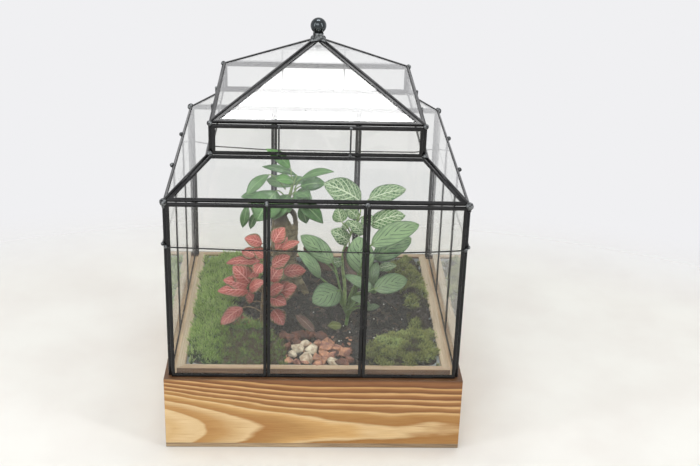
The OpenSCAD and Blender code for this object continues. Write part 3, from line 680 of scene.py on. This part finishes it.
bm = shaded_bmesh()
bmesh.ops.create_icosphere(bm, subdivisions=1, radius=1)
roughen(bm, 0.35, 0.8)
crumb = as_mesh("crumb", bm)
bm = shaded_bmesh()
places = []
while len(places) < crumb_count:
    x, y = rng.uniform(soil_low.x, soil_high.x), rng.uniform(soil_low.y, soil_high.y)
    spot = drop(soil_tree, x, y)[0]
    if spot is None or drop(cushion_tree, x, y)[0] is not None:
        continue
    size = MM * rng.choice((0.6, 0.9, 1.2, 1.6, 2.4))
    places.append((turned(rng, spot + Vector((0, 0, size * 0.3)), size), rng.random() ** 3))
scatter(bm, crumb, places)
keep("soil_crumbs", bm, "soil", [soil_finish], smooth=False)

bm = shaded_bmesh()
white_grains = [
    (85,29), (92,-51), (25,-67), (74,12), (62,-20), (88,-8), (70,44), (-8,-40), (46,60), (96,60),
    (60,20), (12,30), (80,-40), (-20,70), (66,-48), (90,42), (40,-60), (20,90),
]


def grain(x, y, smallest, biggest):
    place = Vector((x * MM, y * MM, soil_high.z + 0.5 * MM))
    return turned(rng, place, rng.uniform(smallest, biggest) * MM), 0


scatter(bm, crumb, [grain(x, y, 0.6, 1.2) for x, y in white_grains])
scatter(bm, crumb, [
    grain(rng.uniform(-10, 98), rng.uniform(-70, 70), 0.4, 0.8) for _ in range(small_grain_count)])
perlite = mottled("perlite", 600, "#cfcabf", "#efece4", 0.0002, 0.8)
keep("soil_grains", bm, "soil", [perlite], smooth=False)

# %% [markdown]
# ## Stones
# Broken brick-red chips and a few cream pebbles. A chip is the hull of random points in a
# squashed ball, with its ridges taken off by a small bevel. Big ones lie where the photograph
# shows them, and small chips fill between.


# %% Chips and pebbles
def chip(rng, place, radius, points):
    bm = bmesh.new()
    for _ in range(points):
        direction = Vector([rng.gauss(0, 1) for _ in range(3)]).normalized()
        bm.verts.new(direction * radius * rng.uniform(0.82, 1.1))
    hull = bmesh.ops.convex_hull(bm, input=bm.verts[:])
    loose = [e for e in hull["geom_interior"] if isinstance(e, bmesh.types.BMVert)]
    bmesh.ops.delete(bm, geom=loose, context="VERTS")
    bevelled(bm, bm.edges[:], radius * 0.04, 1)
    shape = Matrix.Diagonal((1.0, rng.uniform(0.75, 0.95), rng.uniform(0.6, 0.8), 1))
    bm.transform(Matrix.Translation(place) @ swivel(rng, -0.4, 0.4) @ shape)
    bmesh.ops.recalc_face_normals(bm, faces=bm.faces)
    return bm


def stone_pile(name, spots, grow, gravel, points, material, replaced=()):
    rng = random.Random(len(name))
    pile = bmesh.new()
    for x, y, radius in [(x, y, r * grow) for x, y, r in spots] + gravel:
        place = Vector((x, y, soil_high.z / MM + 0.55 * radius)) * MM
        take_in(pile, as_mesh("chip", chip(rng, place, radius * MM, points)))
    keep(name, pile, "stone", [material], replaced, smooth=False)


salmon = mottled("salmon_stone", 130, "#7a5048", "#cd9879", 0.0004, 0.8)
dark_red = mottled("dark_red_stone", 110, "#4d352e", "#835747", 0.0004, 0.85)
cream = mottled("cream_stone", 160, "#a98f76", "#eaddc6", 0.0003, 0.75)
salmon_spots = [
    (12.6,-89, 7.5), (29,-99, 6.5), (15,-76, 6), (4,-116, 5), (9,-100, 5.5), (21,-88, 5.5),
    (2.5,-106, 5), (-17,-114, 4.5), (-24,-109, 4.5), (10,-111, 4.5), (26,-86, 4.5), (18,-103, 5),
    (-9,-115, 4), (6,-81, 5), (-2,-82, 4.5),
]
dark_spots = [
    (25,-112, 6.5), (-23,-70, 7), (-14,-62, 6.5), (-3,-62, 7), (6,-66, 6), (-30,-62, 5),
    (33,-108, 5), (-26,-84, 5), (34,-90, 4.5), (-17,-76, 5), (19,-94, 5), (31,-116, 4),
]
cream_spots = [
    (-16,-89, 6.5), (-2.5,-92.5, 7.5), (-7,-107, 6.5), (16.5,-113, 6.8), (-8.5,-79, 5.5),
    (-20,-97, 4.5), (3,-75, 3.5),
]
rng = random.Random(5)
salmon_gravel, dark_gravel = [
    [(rng.uniform(-32, 38), rng.uniform(-118, -58), rng.uniform(1.4, 2.8)) for _ in range(count)]
    for count in (40, 30)]
stone_pile("salmon_chips", salmon_spots, 1.35, salmon_gravel, 11, salmon, ["stones"])
stone_pile("dark_chips", dark_spots, 1.3, dark_gravel, 11, dark_red)
stone_pile("cream_pebbles", cream_spots, 1.2, [], 15, cream)

# %% [markdown]
# ## Moss
# Moss is a mat of thousands of short shoots. A lumpy cushion, skinned from the solid, gives
# the mat its body. The shoot is a tuft of a few narrow cones, copied over the cushion along
# its normals. Each vertex knows how near the tip it is, and each tuft has its own shade. The
# left bed is duller and lower in front, the right one patchy.


# %% Moss finish and tufts
def moss_material(name, deep, bright, tip, dull):
    g = Finish(name, Roughness=0.62)
    height, shade = g.attribute("tip"), g.attribute("shade")
    top = g.mix(g.step(shade, 0.02, 0.12, 0.7, 0.0), tip, "#c9db8e")
    body = patches(g, 90, deep, bright)["Colour"]
    colour = g.mix(g.step(height, 0.2, 1.0), body, top)
    colour = g.mix(g.step(shade, 0.35, 0.95), colour, dull)
    return g.coat(colour, g.noise(g.place(), 900.0, 2.0), 0.6, 0.0004)


def tuft(rng, blades, length, width, lean):
    bm = shaded_bmesh()
    tip = bm.verts.layers.float["tip"]
    for _ in range(blades):
        size = length * rng.uniform(0.7, 1.15)
        made = bmesh.ops.create_cone(
            bm, cap_ends=True, segments=3, radius1=width, radius2=0, depth=size)
        for v in made["verts"]:
            v[tip] = 1.0 if v.co.z > 0 else 0.0
        bmesh.ops.translate(bm, verts=made["verts"], vec=(0, 0, size * 0.45))
        bmesh.ops.rotate(
            bm, verts=made["verts"], cent=(0, 0, 0), matrix=swivel(rng, 0.1, lean, 3))
    return as_mesh("tuft", bm)


past_edge, corner_start, lowest_root = 2.2 * MM, 0.106, 0.0765


def moss_bed(name, node, slot, material, tufts, count, seed, lumps, shade_at, size_at):
    rng = random.Random(seed)
    low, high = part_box(node)
    skin = skinned(merged(node), 1.6 * MM)
    roughen(skin, lumps * MM, 8 * MM)
    tree = BVHTree.FromBMesh(skin)
    bm = shaded_bmesh()
    take_in(bm, as_mesh("cushion", skin))
    shade = bm.verts.layers.float["shade"]
    for v in bm.verts:
        v[shade] = shade_at(v.co.x / MM, v.co.y / MM, 0.5)
    groups = [[] for _ in tufts]
    found = 0
    while found < count:
        x, y = [rng.uniform(low[i] - past_edge, high[i] + past_edge) for i in (0, 1)]
        spot, normal = drop(tree, x, y)[:2]
        if spot is None:
            spot, normal = drop(edge_tree, x, y)[:2]
        corner = min(abs(x), abs(y)) > corner_start
        if spot is None or spot.z < lowest_root or corner and rng.random() < 0.9:
            continue
        found += 1
        up = (normal + Vector((0, 0, 0.9))).normalized()
        turn = up.to_track_quat("Z", "Y").to_matrix().to_4x4()
        size = rng.uniform(0.75, 1.2) * size_at(x / MM, y / MM)
        spin = Matrix.Rotation(rng.uniform(0, math.tau), 4, "Z")
        place = Matrix.Translation(spot) @ turn @ spin @ Matrix.Diagonal((size, size, size, 1))
        value = shade_at(x / MM, y / MM, rng.random())
        groups[rng.randrange(len(tufts))].append((place, value))
    for shape, places in zip(tufts, groups):
        scatter(bm, shape, places)
    keep(name, bm, slot, [material], [node], smooth=False)


rng = random.Random(3)
edge_tree = ground_tree("liner")
long_tufts = [tuft(rng, 7, 8.0 * MM, 0.62 * MM, 0.75) for _ in range(3)]
short_tufts = [tuft(rng, 8, 5.4 * MM, 0.95 * MM, 1.2) for _ in range(3)]


def clamp(value):
    return max(0.0, min(1.0, value))


left_end, left_fade, front_start, front_fade = -98, 18, -52, 14


def in_front(x, y):
    return clamp((x - left_end) / left_fade) * clamp((front_start - y) / front_fade)


def left_shade(x, y, chance):
    patch = 0.5 + 0.5 * noise.noise(Vector((x, y, 0)) / 16)
    spots = 0.9 * noise.noise(Vector((x, y, 5)) / 5)
    shaded = in_front(x, y) * (0.4 + 0.6 * chance + spots)
    return clamp(0.45 * patch * chance ** 2 + shaded)


def right_shade(x, y, chance):
    patch = 0.5 + 1.3 * noise.noise(Vector((x, y, 9)) / 13)
    bare = max(0.0, 1 - abs(y + 22) / 34)
    return clamp(0.25 * chance + 0.75 * patch + 0.6 * bare - 0.04)


bright_moss = moss_material("bright_moss", "#16290b", "#294715", "#9abc57", "#5a4b33")
olive_moss = moss_material("olive_moss", "#141a09", "#2f3f17", "#9aa056", "#2d231a")
moss_bed("bright_moss_bed", "moss_left", "moss", bright_moss, long_tufts, 2700, 21, 2.2,
         left_shade, lambda x, y: 1.15 - 0.45 * in_front(x, y))
moss_bed("olive_moss_bed", "moss_right", "dark_moss", olive_moss, short_tufts, 1900, 22, 3.4,
         right_shade, lambda x, y: 1.25 - 0.6 * right_shade(x, y, 0.5))

# %% [markdown]
# ## Leaves
# A blade is a small grid whose corners are moved: across it follows the leaf's outline, and
# along it a bowed line from base to tip. The halves lift from the midrib, and the edge turns
# down and ripples. The grid's own square becomes the UV map, so veins follow the leaf. A
# Solidify modifier gives thickness and puts the second finish on the underside. Each blade
# is turned to look up and out.


# %% Blade and stalk makers
def oval(peak, fullness, point):
    def outline(t):
        bell = math.sin(math.pi * min(1.0, t ** (math.log(0.5) / math.log(peak)))) ** fullness
        return max(0.03, bell * (1 - point * t ** 6))
    return outline


def leaf_look(shape, fold, curl, wave, waves, lift, cols, rows, spread, thick=0.35):
    return dict(outline=oval(*shape), fold=fold, curl=curl, wave=wave, waves=waves, bow=0.12,
                lift=lift, cols=cols, rows=rows, spread=spread, thick=thick)


def add_blade(bm, base, tip, width, look, rng, flip=False):
    uv = bm.loops.layers.uv["blade"]
    shade = bm.verts.layers.float["shade"]
    base, tip = Vector(base) * MM, Vector(tip) * MM
    length = (tip - base).length
    along = (tip - base).normalized()
    seen = camera_back * (-1.0 if flip else 1.0)
    hint = Vector([rng.uniform(-0.18, 0.18) for _ in range(3)]) + seen
    hint.z += look["lift"]
    side = along.cross(hint).normalized()
    up = side.cross(along)
    middle = base + (tip - base) * 0.5 + up * length * look["bow"] * 2
    made = bmesh.ops.create_grid(
        bm, x_segments=look["cols"], y_segments=look["rows"], size=0.5)["verts"]
    phase = rng.uniform(0, math.tau)
    tone = rng.random()
    square = {}
    for v in made:
        u, t = v.co.x + 0.5, v.co.y + 0.5
        square[v] = (u, t)
        line = base.lerp(middle, t).lerp(middle.lerp(tip, t), t)
        tangent = (middle.lerp(tip, t) - base.lerp(middle, t)).normalized()
        normal = side.cross(tangent)
        s = 2 * u - 1
        half = width * MM / 2 * look["outline"](t)
        lift = half * (look["fold"] * abs(s) - look["curl"] * s * s)
        lift += look["wave"] * width * MM * s * s * math.sin(phase + t * look["waves"] + (s > 0))
        v.co = line + side * half * s * look["spread"] + normal * lift
        v[shade] = tone
    for face in {f for v in made for f in v.link_faces}:
        for loop in face.loops:
            loop[uv].uv = square[loop.vert]


def leaf_piece(name, rows, look, slot, upper, under, seed, replaced=()):
    rng = random.Random(seed)
    bm = bmesh.new()
    bm.loops.layers.uv.new("blade")
    bm.verts.layers.float.new("shade")
    for row in rows:
        add_blade(bm, row[3:6], row[6:9], row[9], look, rng, *row[10:])
    made = keep(name, bm, slot, [finishes[upper], finishes[under]], replaced)
    skin = made.modifiers.new("thickness", "SOLIDIFY")
    skin.thickness = look["thick"] * MM
    skin.offset = -1.0
    skin.material_offset = 1
    skin.material_offset_rim = 0


def tube_bmesh(lines):
    curve = bpy.data.curves.new("tubes", "CURVE")
    curve.dimensions = "3D"
    curve.bevel_depth = MM
    curve.bevel_resolution = 2
    curve.resolution_u = 5
    curve.use_fill_caps = True
    for points, radii in lines:
        spline = curve.splines.new("BEZIER")
        spline.bezier_points.add(len(points) - 1)
        for knot, point, radius in zip(spline.bezier_points, points, radii):
            knot.co = Vector(point) * MM
            knot.radius = radius
            knot.handle_left_type = knot.handle_right_type = "AUTO"
    made = linked("tubes", curve)
    tree = bpy.context.evaluated_depsgraph_get()
    mesh = bpy.data.meshes.new_from_object(made.evaluated_get(tree))
    bpy.data.objects.remove(made)
    bpy.data.curves.remove(curve)
    bm = bmesh.new()
    take_in(bm, mesh)
    bmesh.ops.remove_doubles(bm, verts=bm.verts, dist=1e-7)
    bmesh.ops.recalc_face_normals(bm, faces=bm.faces)
    return bm


def tubes(name, lines, slot, finish):
    keep(name, tube_bmesh(lines), slot, [finishes[finish]])


def stalks(rows, thick, thin, sink=0.12):
    lines = []
    for row in rows:
        root, base, tip = [Vector(row[i:i + 3]) for i in (0, 3, 6)]
        middle = root.lerp(base, 0.5) + Vector((0, 0, 0.12 * (base - root).length))
        end = base.lerp(tip, sink)
        lines.append(((root, middle, base, end), (thick, (thick + thin) / 2, thin, thin * 0.5)))
    return lines


# %% [markdown]
# ### Leaf finishes
# All plants use the vein group and differ in what the veins carry: a pale midrib on waxy
# green for the ficus, dark curved stripes on grey green for the calathea, a close white net
# on green and a pink one on rose for the fittonias. Near the soil the colour is darkened:
# painted shade for lower leaves that get less light, and partly their age.
#
# A row holds the veins (number, slant, width, midrib), the roughness, the colours (dark,
# light, other, rim, vein, midrib), where the rim begins and how strong the veins are. A net
# adds its colour, scale, width, end and strength, and three last numbers say between which
# heights and to what value the painted shade darkens the colour.


# %% Leaf finishes
def leaf_material(name, veins, rough, colours, rim_start, strength, net=None,
                  painted_shade_fall=(0.09, 0.17, 0.62)):
    dark, light, other, rim, vein, midrib = colours
    g = Finish(name, Roughness=rough)
    out = g.use(leaf_veins, dict(enumerate(veins)))
    patch = patches(g, 130, dark, light, Low=0.3, High=0.7)["Colour"]
    tone = g.step(g.attribute("shade"), 0.0, 1.0, 0.0, 0.45)
    colour = g.mix(tone, patch, other)
    colour = g.mix(g.step(out["Edge"], rim_start, 1.0), colour, rim)
    height = g.math("ADD", out["Laterals"], out["Midrib"])
    if net:
        thread, scale, width, end, share = net
        cells = g.node("TexVoronoi", {"Vector": g.place(), "Scale": scale},
                       feature="DISTANCE_TO_EDGE")[0]
        lines = g.math("MULTIPLY", g.step(cells, 0.0, width, 1.0, 0.0),
                       g.step(out["Edge"], end, 1.0, 1.0, 0.15))
        colour = g.mix(g.math("MULTIPLY", lines, share), colour, thread)
        height = g.math("ADD", height, lines)
    colour = g.mix(g.math("MULTIPLY", out["Laterals"], strength), colour, vein)
    colour = g.mix(out["Midrib"], colour, midrib)
    # Painted shade: the colour darkens towards the soil, where lower leaves get less light, and
    # partly for their age.
    value = g.step(g.parts(g.place())[2], *painted_shade_fall, 1.0)
    colour = g.node("HueSaturation", {"Value": value, "Color": colour})[0]
    return g.coat(colour, height, -0.5, 0.0005)


finishes = {row[0]: leaf_material(*row) for row in (
    ("ficus_leaf", (11, 0.3, 0.12, 0.09), 0.34,
     ("#275520", "#487a38", "#7da568", "#3a652d", "#5a8a48", "#7fa368"), 0.9, 0.4),
    ("young_leaf", (11, 0.3, 0.12, 0.09), 0.34,
     ("#33701c", "#5a9a38", "#86b85e", "#3a652d", "#6a9a50", "#8fb878"), 0.9, 0.4),
    # The calathea's painted shade is deeper, so its lower leaves come out darker.
    ("calathea_leaf", (5, 0.55, 0.17, 0.06), 0.4,
     ("#4f7449", "#7c9d69", "#9ab485", "#3f6640", "#1c3a20", "#8ba878"), 0.86, 1.0,
     None, (0.1, 0.176, 0.45)),
    ("fittonia_leaf", (6, 0.42, 0.2, 0.07), 0.45,
     ("#1a4d10", "#2f681f", "#41792e", "#25591a", "#d0dcbc", "#d8e2c4"), 0.93, 0.95,
     ("#b3c79b", 330, 0.17, 0.9, 0.75)),
    ("red_leaf", (6, 0.4, 0.2, 0.08), 0.45,
     ("#8a2e28", "#b0463c", "#9c4c3a", "#4a5a2c", "#dd938a", "#dc968b"), 0.5, 0.75,
     ("#c86e66", 330, 0.15, 0.8, 0.6)),
    ("brown_fallen_leaf", (7, 0.4, 0.12, 0.08), 0.6,
     ("#4f352c", "#75564a", "#6a4a3e", "#44602f", "#a5887a", "#b09484"), 0.85, 0.5),
    ("yellow_fallen_leaf", (6, 0.4, 0.12, 0.08), 0.6,
     ("#5f6a30", "#868e48", "#77823e", "#5a5a2c", "#b5b96e", "#c0c27c"), 0.85, 0.4),
)}
finishes |= {row[0]: mottled(*row) for row in (
    ("ficus_under", 140, "#4f7340", "#688a52", 0.0002, 0.5),
    ("calathea_under", 120, "#3f2a22", "#5f4437", 0.0002, 0.5),
    ("fittonia_under", 140, "#5f8050", "#7d9a66", 0.0002, 0.55),
    ("red_under", 140, "#6a4434", "#87604a", 0.0002, 0.55),
    ("green_stalk", 220, "#45602c", "#6a8548", 0.0002, 0.5),
    ("pale_stalk", 220, "#7a9454", "#9fb674", 0.0002, 0.5),
    ("brown_stalk", 220, "#42321f", "#664e36", 0.0003, 0.6),
    ("rose_stalk", 220, "#6a5236", "#86704e", 0.0002, 0.55),
)}
print("leaf finishes:", ", ".join(finishes))

# %% [markdown]
# ## The ficus
# A little ficus grown as a bonsai: a swollen trunk on three surface roots, a limb that arches
# over at its right and leaves a gap, a few short limbs, and a crown of waxy leaves with two
# younger, brighter ones on top. The tables give millimetres: in a line the points and their
# radii, in a row the root of the stalk, the base and the tip of the blade, and its width.
# True after the width turns a blade's underside to the camera.

# %% Ficus trunk
trunk_lines = [
    (((-29,45,73), (-29,45,88), (-30,45,111), (-31,45,135), (-34,45,149),
      (-35.5,45,160), (-33,45,168), (-29,45,175)), (17, 14, 12.4, 14.2, 10.8, 7.6, 5.5, 3)),
    (((-31,45,165), (-26,45,168), (-21,45,163), (-19,45,153), (-20,45,143),
      (-24,45,131)), (4, 3, 2.5, 2.5, 3.4, 5)),
    (((-34,38,96), (-42,36,84), (-50,33,76)), (7, 5, 3)),
    (((-22,40,98), (-13,36,85), (-6,33,76)), (7, 5, 3)),
    (((-28,55,96), (-27,62,84), (-27,68,76)), (7, 5, 3)),
]
bm = skinned(tube_bmesh(trunk_lines), 1.1 * MM)
roughen(bm, 1.0 * MM, 9 * MM)
roughen(bm, 0.5 * MM, 2.6 * MM)
g = Finish("grey_bark", Roughness=0.75)
rings_up = g.noise(g.stretched(g.place(), 60, 60, 420), 1.0, 3.0)
grey = patches(g, 90, "#5a4d37", "#a59877")["Colour"]
aged = g.mix(g.step(rings_up, 0.45, 0.7), grey, "#6a5c44")
height = g.parts(g.place())[2]
dark_from, dark_at = 0.152, 0.162
colour = g.mix(g.step(height, dark_from, dark_at, 0.0, 0.85), aged, "#352a1e")
bark = g.coat(colour, rings_up, 0.6, 0.0006)
keep("ficus_bole", bm, "bark", [bark], ["ficus_trunk"])

# %% Ficus crown
ficus_look = leaf_look((0.5, 0.78, 0.2), 0.22, 0.1, 0.03, 7.0, 0.9, 6, 12, 1.24)
young_rows = [
    (-24,45,199, -25,45,213, -50,42,236, 11), (-24,44,196, -22,42,200, -40,30,206, 12),
]
ficus_rows = [
    (-22,50,192, -19,55,202, -55,60,209, 7), (-30,45,190, -47,45,206, -70,38,186, 11),
    (-31,40,185, -39,36,192, -59,16,167, 27), (-46,45,178, -69,40,175, -74,36,151, 8),
    (-44,45,176, -60,42,166, -66,40,148, 7), (-25,48,186, -24,46,193, -50,58,195, 13),
    (-23,50,188, -22,52,192, -12,70,194, 12), (-21,45,190, -14,42,203, 19,30,216, 9),
    (-21,45,188, -15,44,194, 11,45,197, 14), (-22,45,183, -18,55,184, -2,68,171, 12),
    (-28,38,182, -26,34,189, -42,18,168, 15), (-23,42,180, -18,38,182, 9,22,163, 14),
    (-24,40,177, -14,34,178, -8,28,160, 11), (-41,50,180, -55,56,178, -77,66,172, 9),
    (-23,42,186, -20,38,190, -6,22,180, 13), (-26,40,184, -30,36,186, -26,18,176, 12),
    (-22,44,184, -16,40,188, -6,24,190, 13), (-34,44,182, -44,38,186, -66,28,178, 14),
]
leaf_piece("ficus_young_blades", young_rows, ficus_look, "ficus_leaf",
           "young_leaf", "ficus_under", 30)
leaf_piece("ficus_blades", ficus_rows, ficus_look, "ficus_leaf",
           "ficus_leaf", "ficus_under", 31, ["ficus_leaves"])
crown_limbs = [
    (((-28,44,170), (-27,44,178), (-25,45,186), (-23,46,196), (-23,45,203)),
     (2.2, 2.0, 1.7, 1.2, 0.7)),
    (((-28,44,171), (-36,45,177), (-46,46,180)), (1.7, 1.4, 0.8)),
    (((-27,44,172), (-24,42,179), (-21,42,184)), (1.7, 1.3, 0.8)),
    (((-29,43,172), (-30,40,180), (-31,39,186)), (1.6, 1.2, 0.8)),
]
limbs = crown_limbs + stalks(young_rows + ficus_rows, 0.8, 0.55)
tubes("ficus_limbs", limbs, "bark", "pale_stalk")

# %% [markdown]
# ## Fittonias and calathea
# Both fittonias are soft upright shoots with leaves in pairs. The calathea is a rosette: each
# leaf stands on its own stalk from the soil and arches outwards.

# %% White-veined fittonia
fittonia_look = leaf_look((0.43, 0.62, 0.1), 0.12, 0.22, 0.04, 11.0, 0.7, 8, 14, 1.06)
white_rows = [
    (46,10,181, 46,8,193, 8,4,214, 24), (50,12,182, 54,14,193, 92,18,203, 16),
    (48,8,161, 56,6,170, 91,2,182, 18), (36,0,163, 27,-4,176, 22,-2,191, 13),
    (42,10,168, 44,12,174, 31,18,183, 11), (42,2,154, 49,-2,163, 32,-4,178, 10),
    (35,0,143, 35,-2,154, 16,-6,168, 14), (48,8,119, 66,8,119, 85,10,122, 9),
    (44,8,172, 48,6,178, 58,0,172, 12), (40,6,160, 36,12,166, 28,22,160, 11),
    (34,4,128, 28,-2,132, 14,-8,130, 10),
]
leaf_piece("white_fittonia_blades", white_rows, dict(fittonia_look, spread=1.22), "veined_leaf",
           "fittonia_leaf", "fittonia_under", 32, ["white_fittonia"])
white_stems = [
    (((33,8,75), (32,7,102), (29,4,128), (31,4,145), (37,5,160), (46,10,180)),
     (2.0, 1.8, 1.6, 1.5, 1.3, 1.0)),
    (((36,8,75), (42,8,98), (48,8,119)), (1.4, 1.2, 0.9)),
]
tubes("white_fittonia_stems", white_stems + stalks(white_rows, 0.8, 0.55), "veined_leaf",
      "pale_stalk")

# %% Red-veined fittonia
red_rows = [
    (-44,-36,159, -40,-38,168, -30,-32,182, 13), (-44,-34,155, -38,-32,157, -27,-24,168, 10),
    (-44,-38,155, -32,-44,164, -15,-48,174, 8), (-47,-38,160, -51,-42,169, -68,-46,176, 11),
    (-47,-34,149, -58,-30,150, -72,-22,152, 10), (-47,-40,152, -49,-44,156, -60,-48,166, 10),
    (-48,-34,145, -53,-30,144, -88,-20,137, 9), (-50,-42,123, -63,-50,130, -79,-56,151, 16),
    (-50,-42,120, -65,-54,129, -88,-62,139, 12), (-51,-42,116, -64,-58,125, -93,-70,131, 12),
    (-50,-42,118, -63,-60,128, -48,-72,143, 11), (-48,-38,123, -43,-40,127, -31,-38,145, 14),
    (-47,-34,130, -31,-28,131, -8,-22,131, 13), (-47,-36,146, -51,-50,151, -57,-60,145, 11),
    (-50,-38,103, -42,-40,110, -17,-44,124, 18), (-50,-40,103, -43,-46,112, -27,-56,110, 12),
    (-51,-38,92, -40,-44,98, -30,-54,86, 13), (-52,-40,93, -70,-52,104, -91,-62,90, 13),
    (-52,-38,85, -61,-44,83, -87,-54,90, 10), (-50,-42,103, -60,-50,110, -68,-58,125, 10),
    (-48,-38,136, -42,-36,142, -24,-34,152, 12), (-48,-38,134, -54,-44,138, -70,-50,140, 11),
    (-49,-38,112, -44,-44,116, -30,-50,128, 12),
]
leaf_piece("red_fittonia_blades", red_rows, dict(fittonia_look, spread=1.36), "red_leaf",
           "red_leaf", "red_under", 33, ["red_fittonia"])
red_stems = [(((-52,-38,75), (-52,-38,90), (-51,-39,107), (-48,-37,137), (-45,-37,165)),
              (1.7, 1.6, 1.4, 1.2, 0.8))]
tubes("red_fittonia_stems", red_stems + stalks(red_rows, 0.75, 0.5), "red_leaf",
      "rose_stalk")

# %% Calathea
calathea_look = leaf_look((0.47, 0.56, 0.1), 0.10, 0.16, 0.025, 8.0, 0.6, 10, 18, 1.04, 0.4)
calathea_rows = [
    (38,-30,102, 55,-34,165, 102,-26,184, 22), (39,-24,99, 60,-12,140, 98,0,158, 24),
    (33,-34,98, 47,-32,133, 43,-20,168, 27), (29,-36,99, 18,-30,144, -14,-26,171, 19),
    (29,-38,99, 6,-44,134, -17,-46,164, 13), (30,-42,99, 25,-56,126, -2,-74,122, 25),
    (36,-38,97, 59,-48,124, 92,-40,131, 20), (35,-34,97, 56,-26,116, 63,-18,139, 12),
    (32,-44,96, 54,-58,113, 35,-66,123, 9), (30,-32,98, 20,-20,130, -11,-14,153, 17, True),
    (33,-32,98, 44,-30,126, 31,-22,158, 16, True), (38,-30,106, 61,-44,119, 30,-40,135, 11),
    (38,-36,94, 52,-42,99, 65,-46,104, 7),
]
leaf_piece("calathea_blades", calathea_rows, calathea_look, "striped_leaf",
           "calathea_leaf", "calathea_under", 34, ["calathea"])
foot, collar = (33, -34, 76), (34, -33, 84)
sheath = [((foot, collar, row[:3]), (1.8, 1.6, 1.2)) for row in calathea_rows]
tubes("calathea_stalks", sheath + stalks(calathea_rows, 1.2, 0.9, 0.5), "striped_leaf",
      "green_stalk")

# %% [markdown]
# ## Fallen leaves and twigs
# Two leaves have dropped: a brown-pink one leans on the stones, and a yellowish one lies on
# the soil. A few twigs lie at listed places, and more thin ones are strewn.

# %% Fallen leaves and twigs
fallen_look = dict(fittonia_look, bow=0.1, wave=0.06, thick=0.4)
for colour, slot, row, seed in (
    ("brown", "red_leaf", (4,-72,83, 0,-70,88, -18,-52,97, 10), 35),
    ("yellow", "veined_leaf", (29,-41,78, 28,-41,78.5, 14,-42,79.5, 10), 36),
):
    finish = colour + "_fallen_leaf"
    leaf_piece("fallen_" + colour + "_leaf", [row], fallen_look, slot, finish, finish, seed)
rng = random.Random(8)
twigs = []
thin_twig_count = 34
for x, y in ((-3,70), (4,60), (-10,40), (60,30), (74,-20), (12,20), (50,70), (70,60), (-40,0),
             (0,0), (44,40), (80,10)):
    turn = rng.uniform(0, math.tau)
    reach = rng.uniform(5, 12)
    a = Vector((x, y, 76.6))
    b = a + Vector((reach * math.cos(turn), reach * math.sin(turn), rng.uniform(0.5, 4)))
    middle = a.lerp(b, 0.5) + Vector((0, 0, rng.uniform(0.3, 1.6)))
    twigs.append(((a, middle, b), (0.5, 0.4, 0.25)))
for _ in range(thin_twig_count):
    a = Vector((rng.uniform(-20, 100), rng.uniform(-60, 80), 76.7))
    turn = rng.uniform(0, math.tau)
    b = a + Vector((math.cos(turn), math.sin(turn), rng.uniform(0.05, 0.4))) * rng.uniform(3, 8)
    twigs.append(((a, a.lerp(b, 0.5) + Vector((0, 0, 0.5)), b), (0.4, 0.35, 0.25)))
tubes("twigs", twigs, "bark", "brown_stalk")
